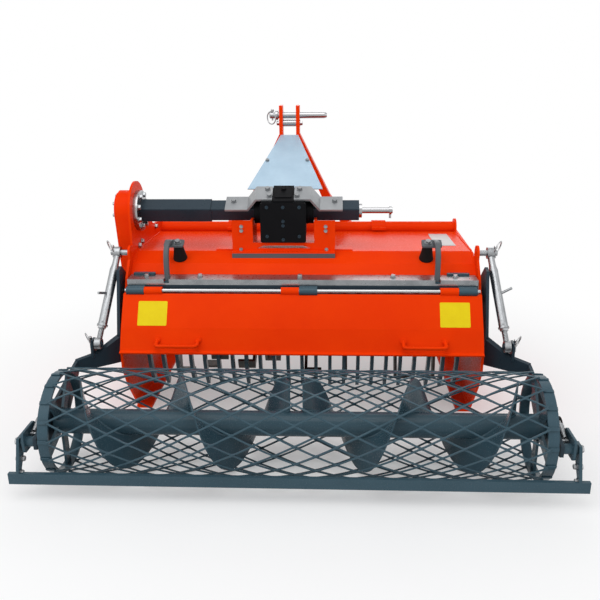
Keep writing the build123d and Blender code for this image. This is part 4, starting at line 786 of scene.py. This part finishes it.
cap_face = corner("rotor_bearing", False)[0] * 1000 - ROTOR_CAP_DEPTH
cap_ring = circle(cap_face, ROTOR_Y, ROTOR_Z, ROTOR_CAP_RING, ROTOR_CAP_BOLTS)
skid_count = len(SKID_Y)
skid_places = point(np.repeat(SIDES * SKID_FACE, skid_count), np.tile(SKID_Y, 2), SKID_Z)
piece("side_bolts", "frame", "zinc", ZINC, case_cover_bolts(), heads(cap_ring, RIGHT, ROTOR_CAP_BOLT),
      heads(point(SIDES * PIVOT_FACE, PIVOT_Y, PIVOT_Z), OUT, PIVOT_NUT, LOW_HEAD),
      heads(skid_places, np.repeat(OUT, skid_count, 0), SKID_BOLT))

# Beam, buffers and hood

BEAM_BOLT_X, BEAM_BOLT_Y, BEAM_BOLT = (-529.0, -345.0, -5.0, 309.0, 517.0), 404.0, 14.0
PAD_X, PAD_Y = (-542.0, 530.0), 429.0
PAD_HALF_X, PAD_HALF_Y, PAD_ROUND, PAD_WALL = 38.0, 8.0, 6.0, 7.0
# Painted shade: a dark strip standing in for the shadow in the groove over the hinge rod, as Y, Z and half
# sizes
STRIP_Y, STRIP_Z = 376.0, 460.0
STRIP_HALF_X, STRIP_HALF_Z, STRIP_ROUND, STRIP_WALL = 585.0, 20.0, 2.0, 7.0

beam_top = corner("rear_beam", False)[2] * 1000
piece("beam_bolts", "frame", "zinc", ZINC, heads(point(BEAM_BOLT_X, BEAM_BOLT_Y, beam_top), UP, BEAM_BOLT))
pads = [slab(point(x, PAD_Y, beam_top), RIGHT, FORWARD, PAD_HALF_X, PAD_HALF_Y, PAD_ROUND, PAD_WALL)
        for x in PAD_X]
piece("beam_pads", "frame", "slate_paint", SLATE, *pads)
# A dark graphite strip set in the groove over the hinge rod: painted shade in place of the groove's shadow
strip = slab(point(0, STRIP_Y, STRIP_Z), RIGHT, UP, STRIP_HALF_X, STRIP_HALF_Z, STRIP_ROUND, STRIP_WALL)
piece("hinge_strip", "frame", "slate_paint", GRAPHITE, strip)

# Sloping band's direction and its upward normal
BAND_RUN = np.array([65.0, 28.0])
band_y, band_z = BAND_RUN / np.hypot(*BAND_RUN)
BAND = np.array([0, band_y, band_z])
BAND_UP = np.array([0, -band_z, band_y])

# Buffers: strap line in rows of share, Y and Z, strap section in metres, rubber in rows of radius and height
BUFFER_X = 455.0
BUFFER_INSET = 26.0
STRAP_LINE = np.array([(0, 391, 482), (0.35, 391, 545), (0.55, 396, 580), (0.72, 412, 602),
                       (0.86, 440, 613), (1, 488, 600)])
STRAP_LINE_POINTS = 60
STRAP_HALF, STRAP_BEVEL, STRAP_RISE = 0.0075, 0.002, 0.0085
STRAP_HEIGHTS = np.array([1, 1, 0.7, -0.7, -1, -1, -0.7, 0.7])
SEAT_Y, SEAT_Z = 471.5, 596.0
SEAT_HALF_X, SEAT_HALF_Y, SEAT_ROUND, SEAT_WALL = 34.0, 19.0, 7.0, 6.5
SEAT_NUT = 17.0
RUBBER_FOOT_Y, RUBBER_FOOT_Z = 496.0, 539.2
RUBBER_ROWS = [(0, -0.5), (23, -0.5), (24.6, 1.5), (24.4, 4), (22.5, 12), (19.5, 30), (16.6, 50),
               (15.4, 58), (14, 61.5), (0, 61.8)]


def buffer_straps():
    """Flat straps rising through the beam and curving forward over the rubber buffers: a rounded flat
    profile carried along a smooth line, with a seat plate and a nut over each buffer."""
    t = np.linspace(0, 1, STRAP_LINE_POINTS)
    share, line_y, line_z = STRAP_LINE.T
    y, z = (eased(np.interp(t, share, line)) for line in (line_y, line_z))
    across = FLAT_SIDES * STRAP_HALF + FLAT_BEVELS * STRAP_BEVEL
    patches, nuts = [], []
    for side in SIDES:
        patches.append(carried(point(side * BUFFER_X, y, z), RIGHT, across, STRAP_HEIGHTS * STRAP_RISE))
        seat = point(side * (BUFFER_X - BUFFER_INSET / 2), SEAT_Y, SEAT_Z)
        patches.append(slab(seat, RIGHT, BAND, SEAT_HALF_X, SEAT_HALF_Y, SEAT_ROUND, SEAT_WALL))
        middle = point(side * (BUFFER_X - BUFFER_INSET), SEAT_Y, SEAT_Z)
        nuts.append(heads(middle + BAND_UP * SEAT_WALL / 1000, BAND_UP, SEAT_NUT))
    straps = piece("buffer_straps", "frame", "slate_paint", GREY, *patches)
    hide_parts("buffer_arms")
    piece("buffer_nuts", "frame", "zinc", ZINC, *nuts)


buffer_straps()

buffer_feet = point(SIDES * (BUFFER_X - BUFFER_INSET), RUBBER_FOOT_Y, RUBBER_FOOT_Z)
rubber = piece("rubber_cones", "frame", "black_rubber", RUBBER,
               turned(buffer_feet, BAND_UP, RUBBER_ROWS, RIM_SIDES), crease=RUBBER_CREASE)
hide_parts("rubber_buffers")

# Hood's top plate as Y and Z, and the plate on it
HOOD_BACK, HOOD_FRONT = np.array([535.0, 556.0]), np.array([890.0, 541.0])
hood_run = HOOD_FRONT - HOOD_BACK
NAME_X, NAME_Y = 515.0, 730.0
NAME_HALF_X, NAME_HALF_Y, NAME_ROUND, NAME_WALL = 36.0, 108.0, 3.0, 1.0


def on_hood(x, y):
    """Places on the hood's top plate."""
    return point(x, y, HOOD_BACK[1] + (np.asarray(y, float) - HOOD_BACK[0]) * hood_run[1] / hood_run[0])


name_plate = slab(on_hood(NAME_X, NAME_Y), RIGHT, (0, *hood_run), NAME_HALF_X, NAME_HALF_Y, NAME_ROUND,
                  NAME_WALL, PLATE_EDGE)
piece("name_plate", "frame", "zinc", SILVER, name_plate)

# Tailgate: blank plates and handles, with ends and feet as Y and Z

TAILGATE_HIGH, TAILGATE_BEND = np.array([346.0, 458.0]), np.array([283.0, 358.0])
PLATE_X, PLATE_SHARE = (-494.0, 507.0), 0.42
PLATE_HALF_X, PLATE_HALF_Y, PLATE_ROUND, PLATE_WALL = 49.0, 42.0, 4.0, 0.9
HANDLE_X, HANDLE_HALF, HANDLE_R = 405.0, 68.0, 6.0
HANDLE_FOOT, HANDLE_BOW = np.array([264.0, 323.8]), np.array([232.0, 313.2])
HANDLE_POINTS, HANDLE_SHARES = 90, (0, 0.22, 0.78, 1)
HANDLE_UP = (0, 0.316, -0.949)
FOOT_DISC_R, FOOT_DISC_WALL = 11.0, 4.5
FLAP_OUT = np.array([0, -0.892, 0.452])

flap_run = TAILGATE_HIGH - TAILGATE_BEND
plate_y, plate_z = TAILGATE_BEND + PLATE_SHARE * flap_run
plates = [slab(point(x, plate_y, plate_z), RIGHT, (0, *flap_run), PLATE_HALF_X, PLATE_HALF_Y, PLATE_ROUND,
               PLATE_WALL, PLATE_EDGE) for x in PLATE_X]
piece("blank_plates", "tailgate", "red_paint", YELLOW, *plates)


def bow_handles():
    """Round bar handles: a circle carried along a bow with rounded corners, from one foot disc to the next."""
    t = np.linspace(0, 1, HANDLE_POINTS)
    bow_x = [-HANDLE_HALF, -HANDLE_HALF, HANDLE_HALF, HANDLE_HALF]
    bow_y, bow_z = np.stack([HANDLE_FOOT, HANDLE_BOW, HANDLE_BOW, HANDLE_FOOT], -1)
    x, y, z = (eased(np.interp(t, HANDLE_SHARES, line)) for line in (bow_x, bow_y, bow_z))
    patches = []
    for side in SIDES:
        patches.append(tube(point(side * HANDLE_X + x, y, z), HANDLE_UP, HANDLE_R, HANDLE_SIDES))
        feet = point(side * HANDLE_X + SIDES * HANDLE_HALF, *HANDLE_FOOT)
        patches.append(bars(feet, FLAP_OUT, FOOT_DISC_R, FOOT_DISC_WALL))
    handles = piece("bow_handles", "tailgate", "red_paint", RED, *patches)
    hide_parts("tailgate_handles")


bow_handles()

# Hitch: top-link pin, spacer and shield bolts, with profile rows of radius and place along X

TOP_Y, TOP_PIN_Z, SPACER_Z = 984.0, 988.0, 958.0
TOP_PIN_ROWS = [(0, -145), (10, -145), (12.6, -142), (12.6, -124), (18.6, -122), (18.6, -112),
                (12.6, -110), (12.6, 68), (12.0, 74), (9, 81), (0, 81)]
SPACER_ROWS = [(0, -92.2), (13.5, -92.2), (13.5, -39.8), (0, -39.8)]
SPACER_RIGHT, SPACER_LEFT, SPACER_BOLT = -26.0, -106.0, 17.0
TOP_LINCHPIN, TOP_RING, TOP_RING_R = (-134.0, 984.0, 984.0), (-138.0, 984.0, 978.0), 24.0
TOP_RING_LEAN = (-0.68, -0.73, 0)
SHIELD_FRONT, SHIELD_RUN = np.array([958.7, 912.0]), np.array([318.7, 157.0])
SHIELD_NARROW, SHIELD_WIDE, SHIELD_INSET, SHIELD_SHARE = 34.0, 135.0, 9.0, 0.5
SHIELD_WALL, SHIELD_BOLT = 3.0, 11.0


def long_pin():
    """The top-link pin: a turned bar with a bevelled nose, a head ring and a linchpin at its left end."""
    made = piece("long_top_pin", "frame", "bright_steel", BRIGHT,
                 turned(point(0, TOP_Y, TOP_PIN_Z), RIGHT, TOP_PIN_ROWS, PIN_SIDES),
                 turned(point(0, TOP_Y, SPACER_Z), RIGHT, SPACER_ROWS, COLLAR_SIDES),
                 heads(point(SPACER_RIGHT, TOP_Y, SPACER_Z), RIGHT, SPACER_BOLT),
                 heads(point(SPACER_LEFT, TOP_Y, SPACER_Z), LEFT, SPACER_BOLT),
                 *linchpin(point(*TOP_LINCHPIN), point(*TOP_RING), TOP_RING_LEAN, TOP_RING_R))
    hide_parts("top_link_pin")


long_pin()
run_y, run_z = SHIELD_RUN / np.hypot(*SHIELD_RUN)
SHIELD_UP = np.array([0, -run_z, run_y])
shield_half = SHIELD_NARROW + (SHIELD_WIDE - SHIELD_NARROW) * SHIELD_SHARE - SHIELD_INSET
shield_y, shield_z = SHIELD_FRONT - SHIELD_RUN * SHIELD_SHARE
shield_places = point(HITCH_X + SIDES * shield_half, shield_y, shield_z)
piece("shield_bolts", "frame", "zinc", ZINC,
      heads(shield_places + SHIELD_UP * SHIELD_WALL / 1000, SHIELD_UP, SHIELD_BOLT))

# Welds: ends as Y on the hood, Y and Z on the band, and X from the hitch's middle and Y on the stand

HOOD_WELD = (540.0, 886.0)
BAND_WELD = ((472.0, 529.0), (533.0, 555.0))
STAND_WELD_X, STAND_WELD_Y, STAND_WELD_Z = (180.0, 110.0), 524.0, 562.0
UPRIGHT_WELD_X, UPRIGHT_WELD_Y = 117.0, (528.0, 655.0)
WELD_INSET = 1.0


def frame_welds():
    """Beads where plates meet: hood and band against the side plates, and the stand against its foot."""
    inner = corner("hood_shell", False)[0] * 1000 - WELD_INSET
    runs = []
    for side in SIDES:
        upright_x = HITCH_X + side * UPRIGHT_WELD_X
        runs.append([on_hood(side * inner, y) for y in HOOD_WELD])
        runs.append([point(side * inner, *end) for end in BAND_WELD])
        runs.append([point(HITCH_X + side * x, STAND_WELD_Y, STAND_WELD_Z) for x in STAND_WELD_X])
        runs.append([point(upright_x, y, STAND_WELD_Z) for y in UPRIGHT_WELD_Y])
    return [bead(start, end) for start, end in runs]


piece("frame_welds", "frame", "red_paint", RED, *frame_welds())

# Stage, light and camera, with places and distances in metres

FLOOR_REACH = 30.0
FLOOR_COLOUR, FLOOR_ROUGHNESS, FLOOR_GLOSS = (0.94, 0.94, 0.94, 1), 0.9, 0.1
FLOOR_FADE = {"From Min": 0.6, "From Max": 1.8, "To Min": 0.3, "To Max": 1.0}
WHITE = (1, 1, 1, 1)
SOFT_COLOUR, SOFT_STRENGTH = (0.95, 0.97, 1, 1), 0.42

# Each lamp's name, place, target, size and power in watts
LAMPS = (
    ("top_lamp", (-0.4, -1.1, 3.4), (0, 0, 0.4), 3.0, 58),
    ("left_lamp", (-2.7, -2.0, 1.7), (0, 0, 0.4), 2.6, 24),
    ("right_lamp", (2.7, -2.0, 1.7), (0, 0, 0.4), 2.6, 20),
    ("front_lamp", (0.4, 3.0, 2.2), (0, 0, 0.5), 2.6, 32),
)

# Camera behind the machine and a little above it: turns in degrees, lens and sensor in millimetres
CAMERA_PLACE = (0.102, -2.2885, 1.201)
CAMERA_YAW = 2.7
CAMERA_PITCH = 19.0
CAMERA_ROLL = -0.6
CAMERA_LENS = 42.18
CAMERA_SENSOR = 36.0


def worked_out(tree, operation, first, second):
    """Two values put through one operation."""
    made = tree.nodes.new("ShaderNodeMath")
    made.operation = operation
    tree.links.new(first, made.inputs[0])
    tree.links.new(second, made.inputs[1])
    return made.outputs["Value"]


def blended(tree, share, first, second, output):
    """Two shaders blended by a share into a tree's output."""
    blend = tree.nodes.new("ShaderNodeMixShader")
    tree.links.new(share, blend.inputs["Fac"])
    tree.links.new(first, blend.inputs[1])
    tree.links.new(second, blend.inputs[2])
    tree.links.new(blend.outputs["Shader"], tree.nodes[output].inputs["Surface"])


def seen_rays(tree):
    """One for camera, glossy and transmission rays, nought for the rest."""
    path = tree.nodes.new("ShaderNodeLightPath")
    rays = path.outputs["Is Camera Ray"]
    for kind in ("Is Glossy Ray", "Is Transmission Ray"):
        rays = worked_out(tree, "MAXIMUM", rays, path.outputs[kind])
    return rays


def floor_piece():
    """A level square under the machine, pale near it and brightening to white with the distance from it."""
    u, v = np.meshgrid([-FLOOR_REACH, FLOOR_REACH], [-FLOOR_REACH, FLOOR_REACH], indexing="ij")
    mesh = bpy.data.meshes.new("floor")
    mesh.from_pydata(np.stack([u, v, np.zeros_like(u)], -1).reshape(-1, 3).tolist(), [], [[0, 2, 3, 1]])
    floor = added("floor", mesh)
    pale = bpy.data.materials.new("pale_floor")
    pale.use_nodes = True
    tree = pale.node_tree
    shader = tree.nodes["Principled BSDF"]
    shader.inputs["Base Color"].default_value = FLOOR_COLOUR
    shader.inputs["Roughness"].default_value = FLOOR_ROUGHNESS
    shader.inputs["Specular IOR Level"].default_value = FLOOR_GLOSS
    white = node(tree, "ShaderNodeEmission", Color=WHITE, Strength=1.0)
    place = tree.nodes.new("ShaderNodeTexCoord")
    far = tree.nodes.new("ShaderNodeVectorMath")
    far.operation = "LENGTH"
    tree.links.new(place.outputs["Object"], far.inputs[0])
    fade = node(tree, "ShaderNodeMapRange", **FLOOR_FADE)
    fade.interpolation_type = "SMOOTHSTEP"
    tree.links.new(far.outputs["Value"], fade.inputs["Value"])
    seen = worked_out(tree, "MULTIPLY", fade.outputs["Result"], seen_rays(tree))
    blended(tree, seen, shader.outputs["BSDF"], white.outputs["Emission"], "Material Output")
    mesh.materials.append(pale)


def posed(obj, right, up, back, place):
    """Sets an object's axes and place."""
    rows = [[right[i], up[i], back[i], place[i]] for i in range(3)]
    obj.matrix_world = Matrix(rows + [[0, 0, 0, 1]])


def lamp(name, place, target, size, power):
    """A soft square lamp aimed at a point."""
    light = bpy.data.lights.new(name, "AREA")
    light.size = size
    light.energy = power
    w, u, v = bases(np.array(place, float) - np.array(target, float))
    posed(added(name, light), u, v, w, place)


def studio_world():
    """White to the camera and in reflections, a softer even light for the rest."""
    world = bpy.data.worlds.new("studio")
    world.use_nodes = True
    tree = world.node_tree
    seen = tree.nodes["Background"]
    seen.inputs["Color"].default_value = WHITE
    soft = node(tree, "ShaderNodeBackground", Color=SOFT_COLOUR, Strength=SOFT_STRENGTH)
    blended(tree, seen_rays(tree), soft.outputs["Background"], seen.outputs["Background"], "World Output")
    bpy.context.scene.world = world


def photo_camera():
    """The camera's axes from its yaw, pitch and roll."""
    yaw, pitch, roll = np.radians([CAMERA_YAW, CAMERA_PITCH, CAMERA_ROLL])
    ahead = np.array([-np.sin(yaw) * np.cos(pitch), np.cos(yaw) * np.cos(pitch), -np.sin(pitch)])
    right = np.array([np.cos(yaw), np.sin(yaw), 0])
    up = np.cross(right, ahead)
    right, up = right * np.cos(roll) + up * np.sin(roll), up * np.cos(roll) - right * np.sin(roll)
    data = bpy.data.cameras.new("camera")
    data.lens = CAMERA_LENS
    data.sensor_width = CAMERA_SENSOR
    camera = added("camera", data)
    posed(camera, right, up, -ahead, CAMERA_PLACE)
    bpy.context.scene.camera = camera


floor_piece()
for row in LAMPS:
    lamp(*row)
studio_world()
photo_camera()
bpy.context.scene.view_settings.view_transform = "Standard"
